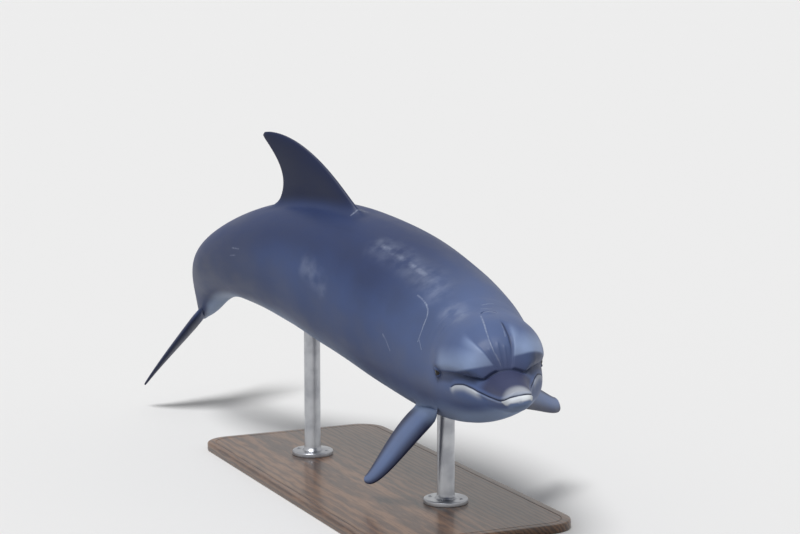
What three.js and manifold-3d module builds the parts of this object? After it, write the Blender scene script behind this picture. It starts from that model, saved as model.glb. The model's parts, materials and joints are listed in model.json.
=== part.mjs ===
// A life-size bottlenose dolphin in mid-turn, carried over a flat base by two short rods.
//
// Millimetres, +Z up. The dolphin's beak points along +X, and the origin is the middle of the
// base's underside. The animal is described as if it lay straight: a station is a distance
// behind the tip of the upper jaw, and each station has a cross-section measured up from the
// spine's line. A bent spine then carries every cross-section to its place.

import * as THREE from 'three';
import { mergeVertices } from 'three/addons/utils/BufferGeometryUtils.js';
import Module from 'manifold-3d';

const wasm = await Module();
wasm.setup();

// ---- Driving dimensions -------------------------------------------------------------------

const NOTCH = 2600;              // station of the notch between the flukes: the body's length
const JAW_TIP = -12;             // the lower jaw reaches past the upper one
const CREASE = 138;              // station of the fold where the beak meets the forehead
const GAPE = 252;                // station of the corner of the mouth
const MID_BODY = 1250;           // the station that ATTITUDE and MID_BODY_AT place
const MID_BODY_AT = new THREE.Vector3(-150, 2, 622);
// Left side up, beak down, beak to the left, in degrees.
const ATTITUDE = { roll: 11.1, pitch: 10.4, yaw: 13.2 };

const GAP = 0.3;                 // clearance between neighbouring pieces
const SIDES = 32;                // facets round the body

const EYE = { station: 335, above: -10, radius: 17, sunk: 12.5 };

const BASE = { length: 1460, width: 640, thick: 26, corner: 90, edge: 5 };
const ROD = { radius: 26, endBelowSpine: 140 };
const FLANGE = { radius: 66, thick: 14, edge: 4 };
const ROD_X = { front: 370, rear: -370 };

// Cross-sections of the body: station, back, belly, half width, level of the greatest width.
const BODY = [
  [-12, -67, -86, 15, -76],
  [-3, -61, -95, 28, -75],
  [3, -50, -99, 33, -74],
  [15, -43, -104, 38, -73],
  [50, -34, -111, 43, -73],
  [90, -24, -116, 51, -73],
  [120, -15, -119, 60, -70],
  [156, 0, -125, 80, -66],
  [188, 24, -131, 98, -62],
  [240, 72, -142, 122, -53],
  [310, 128, -157, 141, -40],
  [360, 150, -168, 150, -31],
  [420, 167, -180, 158, -22],
  [560, 198, -203, 180, -8],
  [750, 223, -223, 200, 0],
  [1000, 237, -235, 212, 0],
  [1250, 228, -232, 207, 0],
  [1500, 201, -211, 179, 0],
  [1750, 159, -169, 132, 0],
  [1950, 121, -129, 91, 0],
  [2150, 86, -90, 58, 0],
  [2300, 61, -61, 41, 0],
  [2420, 39, -37, 32, 0],
  [2520, 20, -18, 22, 0],
  [2600, 6, -6, 6, 0],
];

// The melon, the fatty forehead that overhangs the beak and bulges over the eyes: station,
// top, half width, level of the greatest width, depth below that level.
const MELON = [
  [130, -24, 24, -44, 20],
  [137, -3, 42, -26, 22],
  [144, 24, 59, -10, 27],
  [156, 57, 79, 4, 34],
  [176, 84, 99, 10, 42],
  [240, 121, 131, 15, 54],
  [310, 138, 148, 12, 64],
  [360, 146, 150, 6, 90],
  [430, 148, 142, 0, 110],
];
const MELON_FOLD = 7;            // how softly the melon runs into the jaws below it

// The line of the mouth: station, level.
const MOUTH = [
  [-60, -59], [-4, -59], [4, -67], [50, -72], [108, -67], [146, -56],
  [174, -45], [205, -38], [230, -40], [GAPE, -48],
];

// Bends of the spine: degrees turned between two stations, easing in and out.
const BENDS = {
  yaw: [[-17.3, 950, 200], [18.7, 700, 1800], [-7.4, 1400, 2050], [-24.8, 1850, 2300]],
  pitch: [[2.1, 320, 60], [-21.9, 950, 200], [-24, 1200, 2000], [-20, 1800, 2250], [6.3, 2250, 2500]],
  roll: [[6, 320, 60], [-1.6, 1150, 250], [39.6, 1300, 2350]],
};

// Fins: the four control points of each edge, as [along the body, outwards].
const DORSAL = {
  leading: [[1188, 225], [1350, 311], [1449, 446], [1548, 442]],
  trailing: [[1612, 160], [1478, 262], [1532, 350], [1556, 431]],
  halfThick: 21,
};
const PECTORAL = {
  leading: [[-88, -14], [-18, 178], [5, 388], [102, 401]],
  trailing: [[14, 4], [116, 132], [84, 352], [106, 386]],
  halfThick: 17,
  root: { station: 549, out: 129, up: -125 },
};
const FLUKE = {
  leading: [[2362, 4], [2400, 120], [2520, 262], [2652, 320]],
  trailing: [[2590, 0.15], [2652, 84], [2588, 220], [2664, 314]],
  halfThick: 19,
};
const PECTORAL_POSE = {
  pectoral_fin_left: { side: 1, drop: 40, sweep: 34, twist: -24 },
  pectoral_fin_right: { side: -1, drop: 66, sweep: 26, twist: -8 },
};

// Where the body is parted, from the corner of the mouth back.
const LENGTHS = {
  neck: [430, 610],
  chest: [610, 980],
  trunk: [980, 1420],
  loins: [1420, 1820],
  tail_stock: [1820, 2240],
  tail_root: [2240, NOTCH],
};

// ---- Curves -------------------------------------------------------------------------------

const ease = (t) => THREE.MathUtils.smoothstep(t, 0, 1);

// A curve through rows of [x, value], with no overshoot between them.
function profile(rows, column = 1) {
  const x = rows.map((row) => row[0]);
  const y = rows.map((row) => row[column]);
  const rise = x.slice(1).map((end, i) => (y[i + 1] - y[i]) / (end - x[i]));
  const slope = y.map((_, i) => {
    if (i === 0 || i === y.length - 1) return rise[i === 0 ? 0 : i - 1];
    const [before, after] = [rise[i - 1], rise[i]];
    return before * after <= 0 ? 0 : (2 * before * after) / (before + after);
  });
  return (at) => {
    const s = THREE.MathUtils.clamp(at, x[0], x[x.length - 1]);
    const i = Math.min(x.findIndex((end, k) => k > 0 && s <= end) - 1, x.length - 2);
    const step = x[i + 1] - x[i];
    const t = (s - x[i]) / step;
    const near = y[i] * (1 + 2 * t) + slope[i] * step * t;
    const far = y[i + 1] * (3 - 2 * t) - slope[i + 1] * step * (1 - t);
    return near * (1 - t) ** 2 + far * t ** 2;
  };
}

const back = profile(BODY, 1);
const belly = profile(BODY, 2);
const halfWidth = profile(BODY, 3);
const waist = profile(BODY, 4);
const melonTop = profile(MELON, 1);
const melonHalf = profile(MELON, 2);
const melonLevel = profile(MELON, 3);
const melonDepth = profile(MELON, 4);
const mouthLevel = profile(MOUTH);

// Radius, in one direction, of a squarish or pointed ellipse.
function ovalRadius(angle, half, height, power) {
  const across = Math.abs(Math.sin(angle) / half) ** power;
  const along = Math.abs(Math.cos(angle) / height) ** power;
  return (across + along) ** (-1 / power);
}

// The larger of two radii, with the corner between them softened.
function softMax(a, b, soft) {
  const near = Math.max(soft - Math.abs(a - b), 0) / soft;
  return Math.max(a, b) + (near * near * soft) / 4;
}

// The skin's distance from the middle of the cross-section; the angle runs from the back, 0,
// over the left side to the belly, pi.
function skinRadius(station, angle) {
  const upper = Math.cos(angle) > 0;
  const level = waist(station);
  const height = upper ? back(station) - level : level - belly(station);
  const keel = ease((station - 1650) / 500);
  const radius = ovalRadius(angle, halfWidth(station), height, 2.12 - 0.3 * keel);
  const onMelon = station >= MELON[0][0] && station <= MELON.at(-1)[0];
  return onMelon ? softMax(radius, melonRadius(station, angle), MELON_FOLD) : radius;
}

// The melon's outline is an oval with a level of its own, met here by a ray from the middle
// of the body's cross-section.
function melonRadius(station, angle) {
  const rise = melonLevel(station) - waist(station);
  const heights = [melonTop(station) - melonLevel(station), melonDepth(station)];
  const [above, below] = heights.map((height) => {
    const a = (Math.sin(angle) / melonHalf(station)) ** 2 + (Math.cos(angle) / height) ** 2;
    const b = (rise * Math.cos(angle)) / height ** 2;
    const c = (rise / height) ** 2 - 1;
    const root = b * b - a * c;
    return root > 0 ? (b + Math.sqrt(root)) / a : 0;
  });
  return above * Math.cos(angle) > rise ? above : below;
}

// ---- The bent spine -----------------------------------------------------------------------

function turned(bends, station) {
  const shareAt = (s, from, to) => ease((s - from) / (to - from));
  const parts = bends.map(([degrees, from, to]) => {
    return degrees * (shareAt(station, from, to) - shareAt(MID_BODY, from, to));
  });
  return THREE.MathUtils.degToRad(parts.reduce((sum, part) => sum + part, 0));
}

// Forward, left and up at a station, as the columns of a rotation.
function axesAt(station) {
  const { roll, pitch, yaw } = ATTITUDE;
  const rad = THREE.MathUtils.degToRad;
  const whole = new THREE.Euler(rad(roll), rad(pitch), rad(yaw), 'ZYX');
  const { yaw: yaws, pitch: pitches, roll: rolls } = BENDS;
  const bent = new THREE.Euler(
    turned(rolls, station),
    turned(pitches, station),
    turned(yaws, station),
    'ZYX',
  );
  const matrix = new THREE.Matrix4().makeRotationFromEuler(whole);
  return matrix.multiply(new THREE.Matrix4().makeRotationFromEuler(bent));
}

const FIRST = -70;               // the spine's line is worked out from here to LAST
const LAST = 2730;
const STRIDE = 10;
const spine = [];
for (let station = FIRST; station <= LAST; station += STRIDE) {
  const axes = axesAt(station);
  const forward = new THREE.Vector3().setFromMatrixColumn(axes, 0);
  const place = new THREE.Vector3();
  const before = spine.at(-1);
  if (before) {
    const heading = forward.clone().add(before.forward).multiplyScalar(0.5 * STRIDE);
    place.copy(before.place).sub(heading);
  }
  spine.push({ axes, forward, place });
}
const shift = MID_BODY_AT.clone().sub(spine[(MID_BODY - FIRST) / STRIDE].place);
spine.forEach(({ place }) => place.add(shift));

// A point of the straight animal, carried to its place on the bent one. With `rigid`, a
// station, the point belongs to a stiff piece rooted there and doesn't follow the bend.
function bend({ x, y, z }, rigid = x) {
  const along = THREE.MathUtils.clamp(rigid, FIRST, LAST - 1);
  const i = Math.floor((along - FIRST) / STRIDE);
  const t = (along - FIRST) / STRIDE - i;
  const [a, b] = [spine[i], spine[i + 1]];
  const local = new THREE.Vector3(along - x, y, z);
  const fromA = local.clone().applyMatrix4(a.axes).add(a.place);
  const fromB = local.clone().applyMatrix4(b.axes).add(b.place);
  if (rigid === x) return fromA.lerp(fromB, t);
  return t < 0.5 ? fromA : fromB;
}

// ---- Solids -------------------------------------------------------------------------------

// A closed skin over rings of points, with a flat lid on the first ring and the last.
function loft(rings) {
  const count = rings[0].length;
  const index = [];
  for (let r = 0; r < rings.length - 1; r += 1) {
    for (let k = 0; k < count; k += 1) {
      const [a, b] = [r * count + k, r * count + ((k + 1) % count)];
      index.push(a, b, b + count, a, b + count, a + count);
    }
  }
  const end = (rings.length - 1) * count;
  const lid = THREE.ShapeUtils.triangulateShape(flatten(rings[0]), []);
  lid.forEach(([a, b, c]) => index.push(a, c, b));
  const farLid = THREE.ShapeUtils.triangulateShape(flatten(rings.at(-1)), []);
  farLid.forEach(([a, b, c]) => index.push(end + a, end + b, end + c));
  const geometry = new THREE.BufferGeometry().setFromPoints(rings.flat());
  geometry.setIndex(index);
  return outward(geometry);
}

// A ring's points as seen along its own axis, turning anticlockwise.
function flatten(ring) {
  const middle = ring.reduce((sum, p) => sum.add(p), new THREE.Vector3());
  middle.divideScalar(ring.length);
  const normal = new THREE.Vector3();
  ring.forEach((p, i) => {
    const next = ring[(i + 1) % ring.length];
    normal.add(p.clone().sub(middle).cross(next.clone().sub(middle)));
  });
  const toFlat = new THREE.Quaternion();
  toFlat.setFromUnitVectors(normal.normalize(), new THREE.Vector3(0, 0, 1));
  return ring.map((p) => {
    const flat = p.clone().sub(middle).applyQuaternion(toFlat);
    return new THREE.Vector2(flat.x, flat.y);
  });
}

// The same solid with its faces turned to point out.
function outward(geometry) {
  const at = geometry.getAttribute('position');
  const index = geometry.getIndex();
  const corner = (i) => new THREE.Vector3().fromBufferAttribute(at, index.getX(i));
  let volume = 0;
  for (let i = 0; i < index.count; i += 3) {
    volume += corner(i).dot(corner(i + 1).cross(corner(i + 2)));
  }
  if (volume < 0) index.array.reverse();
  return geometry;
}

function toManifold(source) {
  let geometry = source.clone();
  geometry.deleteAttribute('normal');
  geometry.deleteAttribute('uv');
  geometry = mergeVertices(geometry, 1e-3);
  return new wasm.Manifold(new wasm.Mesh({
    numProp: 3,
    vertProperties: new Float32Array(geometry.getAttribute('position').array),
    triVerts: new Uint32Array(geometry.getIndex().array),
  }));
}

function toGeometry(manifold) {
  const { vertProperties, triVerts } = manifold.getMesh();
  const geometry = new THREE.BufferGeometry();
  geometry.setAttribute('position', new THREE.BufferAttribute(vertProperties, 3));
  geometry.setIndex(new THREE.BufferAttribute(triVerts, 1));
  return geometry;
}

// ---- Body ---------------------------------------------------------------------------------

function steps(from, to, count) {
  return Array.from({ length: count }, (_, i) => from + ((to - from) * i) / count);
}

const stations = [
  JAW_TIP, -8, -3, 0, 4, 9,
  ...steps(16, 124, 5),
  ...steps(124, 168, 8),
  ...steps(168, LENGTHS.neck[0], 9),
  ...Object.values(LENGTHS).flatMap(([from, to]) => steps(from, to, Math.round((to - from) / 70))),
  NOTCH,
];

function bodyRing(station, grow) {
  return Array.from({ length: SIDES }, (_, k) => {
    const angle = (2 * Math.PI * k) / SIDES;
    const radius = skinRadius(station, angle) + grow;
    const y = radius * Math.sin(angle);
    const z = waist(station) + radius * Math.cos(angle);
    return bend({ x: station, y, z });
  });
}

function bodyLength(from, to, grow = 0) {
  const between = stations.filter((station) => station > from + 1 && station < to - 1);
  return loft([from, ...between, to].map((station) => bodyRing(station, grow)));
}

// The body a little enlarged, which is cut from whatever is rooted in it.
const clearance = toManifold(bodyLength(JAW_TIP - GAP, NOTCH + GAP, GAP));

// A block from one station to another and from far below the body up to a level.
function block(from, to, levelAt, reach = 300) {
  const rings = [from, ...stations.filter((s) => s > from && s < to), to].map((station) => {
    const level = levelAt(station);
    const corners = [[-reach, -reach], [reach, -reach], [reach, level], [-reach, level]];
    return corners.map(([y, z]) => bend({ x: station, y, z }));
  });
  return toManifold(loft(rings));
}

// ---- Head ---------------------------------------------------------------------------------

function eyeball(side, radius) {
  const { station, above, sunk } = EYE;
  const level = waist(station);
  const angle = Math.atan2(
    halfWidth(station) * Math.sqrt(1 - ((above - level) / (back(station) - level)) ** 2),
    above - level,
  );
  const reach = skinRadius(station, angle) - sunk;
  const y = side * reach * Math.sin(angle);
  const centre = bend({ x: station, y, z: level + reach * Math.cos(angle) });
  return new THREE.SphereGeometry(radius, 16, 10).translate(centre.x, centre.y, centre.z);
}

function headSolids() {
  const half = GAP / 2;
  const whole = toManifold(bodyLength(JAW_TIP, LENGTHS.neck[0] - half))
    .subtract(toManifold(eyeball(1, EYE.radius + GAP)))
    .subtract(toManifold(eyeball(-1, EYE.radius + GAP)));
  const jaw = block(-60, GAPE - half, (station) => mouthLevel(station) - half);
  const notJaw = block(-60, GAPE + half, (station) => mouthLevel(station) + half);
  const beak = block(-60, CREASE - half, () => 200);
  const notBeak = block(-60, CREASE + half, () => 200);
  const upper = whole.subtract(notJaw);
  return {
    beak: toGeometry(upper.intersect(beak)),
    lower_jaw: toGeometry(whole.intersect(jaw)),
    head: toGeometry(upper.subtract(notBeak)),
  };
}

// ---- Fins ---------------------------------------------------------------------------------

const SPAN_STEPS = 12;
const CHORD_STEPS = 7;
const EDGE = 0.8;                // half the thickness of a trailing edge
const ROOT_DEPTH = 45;           // how far a fin's root is carried on into the body

const bezier = (points) => new THREE.CubicBezierCurve(...points.map((p) => new THREE.Vector2(...p)));

// A fin with the section of a wing: blunt in front, fullest at a third of its width and thin
// behind. `place` takes [along, outwards, thickness] to a point of the finished animal.
function blade({ leading, trailing, halfThick }, place, rootDepth) {
  const [front, rear] = [bezier(leading), bezier(trailing)];
  const shares = steps(0, 1, SPAN_STEPS).concat(1).map((t) => 1 - (1 - t) ** 1.25);
  const rings = shares.map((t) => section(front.getPoint(t), rear.getPoint(t), t));
  const root = rings[0].map(([along, out, thick]) => [along, out - rootDepth, thick]);
  if (rootDepth > 0) rings.unshift(root);
  return loft(rings.map((ring) => ring.map((point) => place(...point))));

  function section(a, b, t) {
    const half = halfThick * (1 - 0.82 * t);
    const point = (share, side) => {
      const thick = half * 2.6 * Math.sqrt(share) * (1 - share) + EDGE * share;
      const at = a.clone().lerp(b, share);
      return [at.x, at.y, side * thick];
    };
    const shareOf = (k) => (1 - Math.cos((Math.PI * k) / CHORD_STEPS)) / 2;
    const ks = steps(1, CHORD_STEPS + 1, CHORD_STEPS);
    const over = ks.map((k) => point(shareOf(k), 1));
    const under = ks.map((k) => point(shareOf(k), -1)).reverse();
    return [point(0, 0), ...over, ...under];
  }
}

function rooted(geometry) {
  return toGeometry(toManifold(geometry).subtract(clearance));
}

function dorsalFin() {
  return rooted(blade(DORSAL, (along, out, thick) => bend({ x: along, y: thick, z: out }), 30));
}

function fluke(side) {
  const place = (along, out, thick) => bend({ x: along, y: side * out, z: thick });
  return rooted(blade(FLUKE, place, 0));
}

// The pectoral fins are stiff. Each is twisted about its own length, swept back, and let
// drop about the body's long axis.
function pectoralFin({ side, drop, sweep, twist }) {
  const { station, out, up } = PECTORAL.root;
  const place = (along, outwards, thick) => {
    const p = { x: along, y: outwards, z: thick };
    swing(p, 'x', 'z', twist);
    swing(p, 'x', 'y', sweep);
    swing(p, 'y', 'z', drop);
    return bend({ x: p.x + station, y: side * (p.y + out), z: p.z + up }, station);
  };
  return rooted(blade(PECTORAL, place, ROOT_DEPTH));
}

// Turns a point in the plane of two of its axes, the second towards the first.
function swing(point, first, second, degrees) {
  const angle = THREE.MathUtils.degToRad(degrees);
  const [a, b] = [point[first], point[second]];
  point[first] = a * Math.cos(angle) + b * Math.sin(angle);
  point[second] = b * Math.cos(angle) - a * Math.sin(angle);
}

// ---- Stand --------------------------------------------------------------------------------

function standBase() {
  const { length, width, thick, corner, edge } = BASE;
  const [x, y] = [length / 2 - edge, width / 2 - edge];
  const turn = corner - edge;
  const outline = new THREE.Shape();
  outline.moveTo(x, -y + turn);
  outline.absarc(x - turn, y - turn, turn, 0, Math.PI / 2);
  outline.absarc(-x + turn, y - turn, turn, Math.PI / 2, Math.PI);
  outline.absarc(-x + turn, -y + turn, turn, Math.PI, 1.5 * Math.PI);
  outline.absarc(x - turn, -y + turn, turn, 1.5 * Math.PI, 2 * Math.PI);
  const plate = new THREE.ExtrudeGeometry(outline, {
    depth: thick - edge,
    bevelEnabled: true,
    bevelSize: edge,
    bevelThickness: edge,
    bevelSegments: 2,
    curveSegments: 6,
  });
  const below = new THREE.BoxGeometry(2 * length, 2 * width, 4 * edge);
  below.translate(0, 0, -2 * edge);
  return toGeometry(toManifold(plate).subtract(toManifold(below)));
}

// A round solid on the base: the outline gives radii and heights from its axis and back to it.
function turnedSolid(x, outline) {
  const points = outline.map(([radius, height]) => new THREE.Vector2(radius, height));
  const solid = new THREE.LatheGeometry(points, 28).rotateX(Math.PI / 2);
  return outward(solid.translate(x, Math.round(spineOver(x).y), 0));
}

function spineOver(x) {
  return spine.reduce((best, here) => {
    return Math.abs(here.place.x - x) < Math.abs(best.place.x - x) ? here : best;
  }).place;
}

function standFlange(x) {
  const { radius, thick, edge } = FLANGE;
  const foot = BASE.thick;
  const top = foot + thick;
  return turnedSolid(x, [[0, foot], [radius, foot], [radius, top - edge], [radius - edge, top], [0, top]]);
}

function standRod(x) {
  const foot = BASE.thick + FLANGE.thick + GAP;
  const top = spineOver(x).z - ROD.endBelowSpine;
  return rooted(turnedSolid(x, [[0, foot], [ROD.radius, foot], [ROD.radius, top], [0, top]]));
}

// ---- The finished model -------------------------------------------------------------------

const finishes = {
  skin: { color: 0x5b6579, roughness: 0.42, metalness: 0 },
  fin: { color: 0x4a5266, roughness: 0.42, metalness: 0 },
  eye: { color: 0x14100e, roughness: 0.1, metalness: 0 },
  base: { color: 0x2b2826, roughness: 0.5, metalness: 0 },
  rod: { color: 0xa9abad, roughness: 0.3, metalness: 1 },
};

const model = new THREE.Group();

function add(name, geometry, finish) {
  const piece = new THREE.Mesh(geometry, new THREE.MeshStandardMaterial(finishes[finish]));
  piece.name = name;
  model.add(piece);
}

for (const [name, geometry] of Object.entries(headSolids())) add(name, geometry, 'skin');
for (const [name, [from, to]] of Object.entries(LENGTHS)) {
  add(name, bodyLength(from + GAP / 2, to - (to === NOTCH ? 0 : GAP / 2)), 'skin');
}
add('eye_left', eyeball(1, EYE.radius), 'eye');
add('eye_right', eyeball(-1, EYE.radius), 'eye');
add('dorsal_fin', dorsalFin(), 'fin');
for (const [name, pose] of Object.entries(PECTORAL_POSE)) add(name, pectoralFin(pose), 'fin');
add('fluke_left', fluke(1), 'fin');
add('fluke_right', fluke(-1), 'fin');
add('stand_base', standBase(), 'base');
for (const [end, x] of Object.entries(ROD_X)) {
  add(`stand_flange_${end}`, standFlange(x), 'rod');
  add(`stand_rod_${end}`, standRod(x), 'rod');
}

export default model;
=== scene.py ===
# %% [markdown]
# # A bottlenose dolphin, life-size, on its display stand
# A museum shows a dolphin as one smooth body, painted and varnished, held up by rods that a visitor
# soon stops seeing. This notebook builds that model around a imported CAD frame, which already holds
# every part at its real size. Nothing here moves or resizes the frame: the pieces made below take
# the places that the frame gives them.

# %% Load the frame
import bisect
import functools
import json
import math

import bmesh
import bpy
from mathutils import Euler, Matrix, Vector, kdtree
from mathutils.bvhtree import BVHTree

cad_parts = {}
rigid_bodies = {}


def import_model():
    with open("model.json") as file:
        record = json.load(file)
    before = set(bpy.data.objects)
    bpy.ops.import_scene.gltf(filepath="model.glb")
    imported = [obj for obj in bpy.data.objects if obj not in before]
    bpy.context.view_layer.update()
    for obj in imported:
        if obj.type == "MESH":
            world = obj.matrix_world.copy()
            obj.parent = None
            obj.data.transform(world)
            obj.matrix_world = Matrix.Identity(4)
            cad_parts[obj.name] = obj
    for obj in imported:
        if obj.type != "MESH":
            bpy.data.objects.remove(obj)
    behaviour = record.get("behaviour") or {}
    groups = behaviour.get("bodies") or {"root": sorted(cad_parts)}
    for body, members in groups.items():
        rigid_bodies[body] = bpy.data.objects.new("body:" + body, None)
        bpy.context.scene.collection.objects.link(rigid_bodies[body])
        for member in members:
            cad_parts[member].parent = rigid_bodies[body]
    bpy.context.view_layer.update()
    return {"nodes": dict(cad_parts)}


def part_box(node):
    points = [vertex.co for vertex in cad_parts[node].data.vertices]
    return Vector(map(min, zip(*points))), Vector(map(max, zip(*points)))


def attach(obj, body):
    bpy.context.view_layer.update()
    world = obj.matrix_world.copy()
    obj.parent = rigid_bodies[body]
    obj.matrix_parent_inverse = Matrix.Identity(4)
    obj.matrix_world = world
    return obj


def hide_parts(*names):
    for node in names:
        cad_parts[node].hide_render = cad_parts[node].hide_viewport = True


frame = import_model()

MM = 0.001
FLESH = [name for name in frame["nodes"] if not name.startswith(("stand_", "eye_"))]
print("frame:", len(frame["nodes"]), "nodes, of flesh:", ", ".join(sorted(FLESH)))

# %% [markdown]
# ## The animal, laid out straight
# A dolphin in mid-turn is hard to measure, and a straight one is easy. So the animal is first
# described as if it lay straight: a *station* is a distance in millimetres behind the tip of the
# upper jaw, and at each station the body has a back, a belly, a half width, and a level at which it
# is widest. A lofting table like this one is how hulls and taxidermy forms are drawn. Smooth curves
# run through its rows, and they never overshoot, so a slim tail stays slim between two rows.

# %% The lofting table
NOTCH = 2600  # station of the notch between the flukes
JAW_TIP = -12  # the lower jaw reaches past the upper one
CREASE = 138  # where the forehead starts behind the beak
GAPE = 252  # the corners of the mouth
BODY = [  # station, back, belly, half width, level of the greatest width
    [-12, -67, -86, 15, -76], [-3, -61, -95, 28, -75], [3, -50, -99, 33, -74],
    [15, -43, -104, 38, -73], [50, -34, -111, 43, -73], [90, -24, -116, 51, -73],
    [120, -15, -119, 60, -70], [156, 0, -125, 80, -66], [188, 24, -131, 98, -62],
    [240, 72, -142, 122, -53], [310, 128, -157, 141, -40], [360, 150, -168, 150, -31],
    [420, 167, -180, 158, -22], [560, 198, -203, 180, -8], [750, 223, -223, 200, 0],
    [1000, 237, -235, 212, 0], [1250, 228, -232, 207, 0], [1500, 201, -211, 179, 0],
    [1750, 159, -169, 132, 0], [1950, 121, -129, 91, 0], [2150, 86, -90, 58, 0],
    [2300, 61, -61, 41, 0], [2420, 39, -37, 32, 0], [2520, 20, -18, 22, 0],
    [2600, 6, -6, 6, 0],
]
MELON = [  # the fatty forehead: station, top, half width, level, depth below that level
    [130, -24, 24, -44, 20], [137, -3, 42, -26, 22], [144, 24, 59, -10, 27],
    [156, 57, 79, 4, 34], [176, 84, 99, 10, 42], [240, 121, 131, 15, 54],
    [310, 138, 148, 12, 64], [360, 146, 150, 6, 90], [430, 148, 142, 0, 110],
]
MELON_FOLD = 7  # how far the skin is softened where the two meet
OVAL_POWER, KEEL_POWER = 2.12, 0.3  # of the body's cross-section, and how much less at the tail
MOUTH = [  # the line of the mouth: station, level
    [-60, -59], [-7, -59], [4, -64.5], [18, -68.5], [50, -72], [108, -67], [146, -56], [174, -45],
    [205, -38], [230, -40], [GAPE, -48],
]


def ease(t):
    t = min(max(t, 0.0), 1.0)
    return t * t * (3 - 2 * t)


def fade(value, start, end):
    """Eases from 0 to 1 while the value goes from start to end, whichever is the larger."""
    return ease((value - start) / (end - start))


def hump(away, width):
    """1 in the middle, and nearly nothing from twice the width on."""
    return math.exp(-((away / width) ** 2))


def halved(low, high, times, beyond):
    """Halves a range, again and again, round the place from which beyond() is true."""
    for _ in range(times):
        middle = (low + high) / 2
        low, high = (low, middle) if beyond(middle) else (middle, high)
    return (low + high) / 2


def profile(rows, column=1):
    """A curve through the rows, with no overshoot between them."""
    x = [row[0] for row in rows]
    y = [row[column] for row in rows]
    rise = [(y[i + 1] - y[i]) / (x[i + 1] - x[i]) for i in range(len(x) - 1)]
    slope = [rise[0]]
    for before, after in zip(rise, rise[1:]):
        slope.append(0 if before * after <= 0 else 2 * before * after / (before + after))
    slope.append(rise[-1])

    def curve(at):
        s = min(max(at, x[0]), x[-1])
        i = min(max(bisect.bisect_left(x, s) - 1, 0), len(x) - 2)
        step = x[i + 1] - x[i]
        t = (s - x[i]) / step
        near = y[i] * (1 + 2 * t) + slope[i] * step * t
        far = y[i + 1] * (3 - 2 * t) - slope[i + 1] * step * (1 - t)
        return near * (1 - t) ** 2 + far * t ** 2

    return curve


back, belly, half_width, waist = (profile(BODY, column) for column in (1, 2, 3, 4))
melon_top, melon_half, melon_level, melon_depth = (profile(MELON, c) for c in (1, 2, 3, 4))
mouth_level = profile(MOUTH)
print("body:", NOTCH, "mm long,", back(1000) - belly(1000), "mm deep at the chest")

# %% [markdown]
# ## Across the body
# Each cross-section is close to an ellipse. Towards the tail it draws in to a keel above and below,
# which a lower power gives. Over the head lies the melon, an oval with a middle of its own, and the
# skin runs over whichever of the two stands out further. A plain maximum would leave a knife-sharp
# corner, so the larger radius is softened over a few millimetres. Angles run from the back, 0,
# over the left side to the belly, pi, and over the right side with a minus sign.

# %% The skin's distance from the middle of the body
FOLD_REACH = 25  # past this lead the lead itself is distance enough
LEAST_STEEP = 0.4


def melon_radius(station, angle):
    """Where a ray from the middle of the body leaves the melon's oval, going on past its side."""
    level = melon_level(station)
    rise = level - waist(station)
    sine, cosine = math.sin(angle), math.cos(angle)

    def leave(height):
        a = (sine / melon_half(station)) ** 2 + (cosine / height) ** 2
        b = rise * cosine / height ** 2
        root = b * b - a * ((rise / height) ** 2 - 1)
        return (b + math.copysign(math.sqrt(abs(root)), root)) / a

    above = leave(melon_top(station) - level)
    return above if above * cosine > rise else leave(melon_depth(station))


def jaw_radius(station, angle):
    level = waist(station)
    height = back(station) - level if math.cos(angle) > 0 else level - belly(station)
    power = OVAL_POWER - KEEL_POWER * fade(station, 1650, 2150)
    across = abs(math.sin(angle) / half_width(station)) ** power
    along = abs(math.cos(angle) / height) ** power
    return (across + along) ** (-1 / power)


def melon_lead(station, angle):
    """How far the melon stands out past the jaws and body, or None behind and before it."""
    if MELON[0][0] <= station <= MELON[-1][0]:
        return melon_radius(station, angle) - jaw_radius(station, angle)
    return None


def fold_away(station, angle):
    """Distance over the skin from the fold round the melon, above 0 on the melon, or None."""
    lead = melon_lead(station, angle)
    if lead is None or abs(lead) > FOLD_REACH:
        return lead
    before = melon_lead(max(station - 1, MELON[0][0]), angle)
    behind = melon_lead(min(station + 1, MELON[-1][0]), angle)
    around = melon_lead(station, angle + 2 / jaw_radius(station, angle))
    steepness = max(math.hypot((behind - before) / 2, (around - lead) / 2), LEAST_STEEP)
    return lead / steepness if lead < 0 else lead * math.hypot(1, 1 / steepness)


def skin_radius(station, angle):
    radius = jaw_radius(station, angle)
    lead = melon_lead(station, angle)
    if lead is None:
        return radius
    near = max(MELON_FOLD - abs(lead), 0) / MELON_FOLD
    return radius + max(lead, 0) + near * near * MELON_FOLD / 4


def on_body(station, angle):
    """A point of the straight animal: forward, left and up, in millimetres."""
    radius = skin_radius(station, angle)
    return Vector((-station, radius * math.sin(angle), waist(station) + radius * math.cos(angle)))


def angle_round(point):
    """The angle at which a point of the straight animal lies."""
    return math.atan2(point.y, point.z - waist(-point.x))


def outside(point):
    """How far a point is above the body's skin."""
    from_middle = math.hypot(point.y, point.z - waist(-point.x))
    return from_middle - skin_radius(-point.x, angle_round(point))


@functools.lru_cache(maxsize=None)
def angle_at_level(station, level):
    return halved(0.0, math.pi, 24, lambda angle: on_body(station, angle).z <= level)


print("forehead at station 200:", round(skin_radius(200, 0)), "mm from the middle")

# %% [markdown]
# ## The bent spine
# The pose is a bank and a turn: the animal rolls its left side up, dips its beak and sweeps its tail
# to the right and down. Each bend is a few degrees spread over a stretch of the spine, with an ease
# at both ends, as vertebrae share out a bend. Walking along the spine in short strides and adding up
# the headings gives the place and the axes of every station. A curve modifier could bend the body
# too, but it can't roll and twist by station as simply as this.

# %% The spine's places and axes
MID_BODY = 1250
MID_BODY_AT = Vector((-150, 2, 622))
ATTITUDE = (11.1, 10.4, 13.2)  # roll, pitch and yaw of the middle of the body, in degrees
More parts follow.
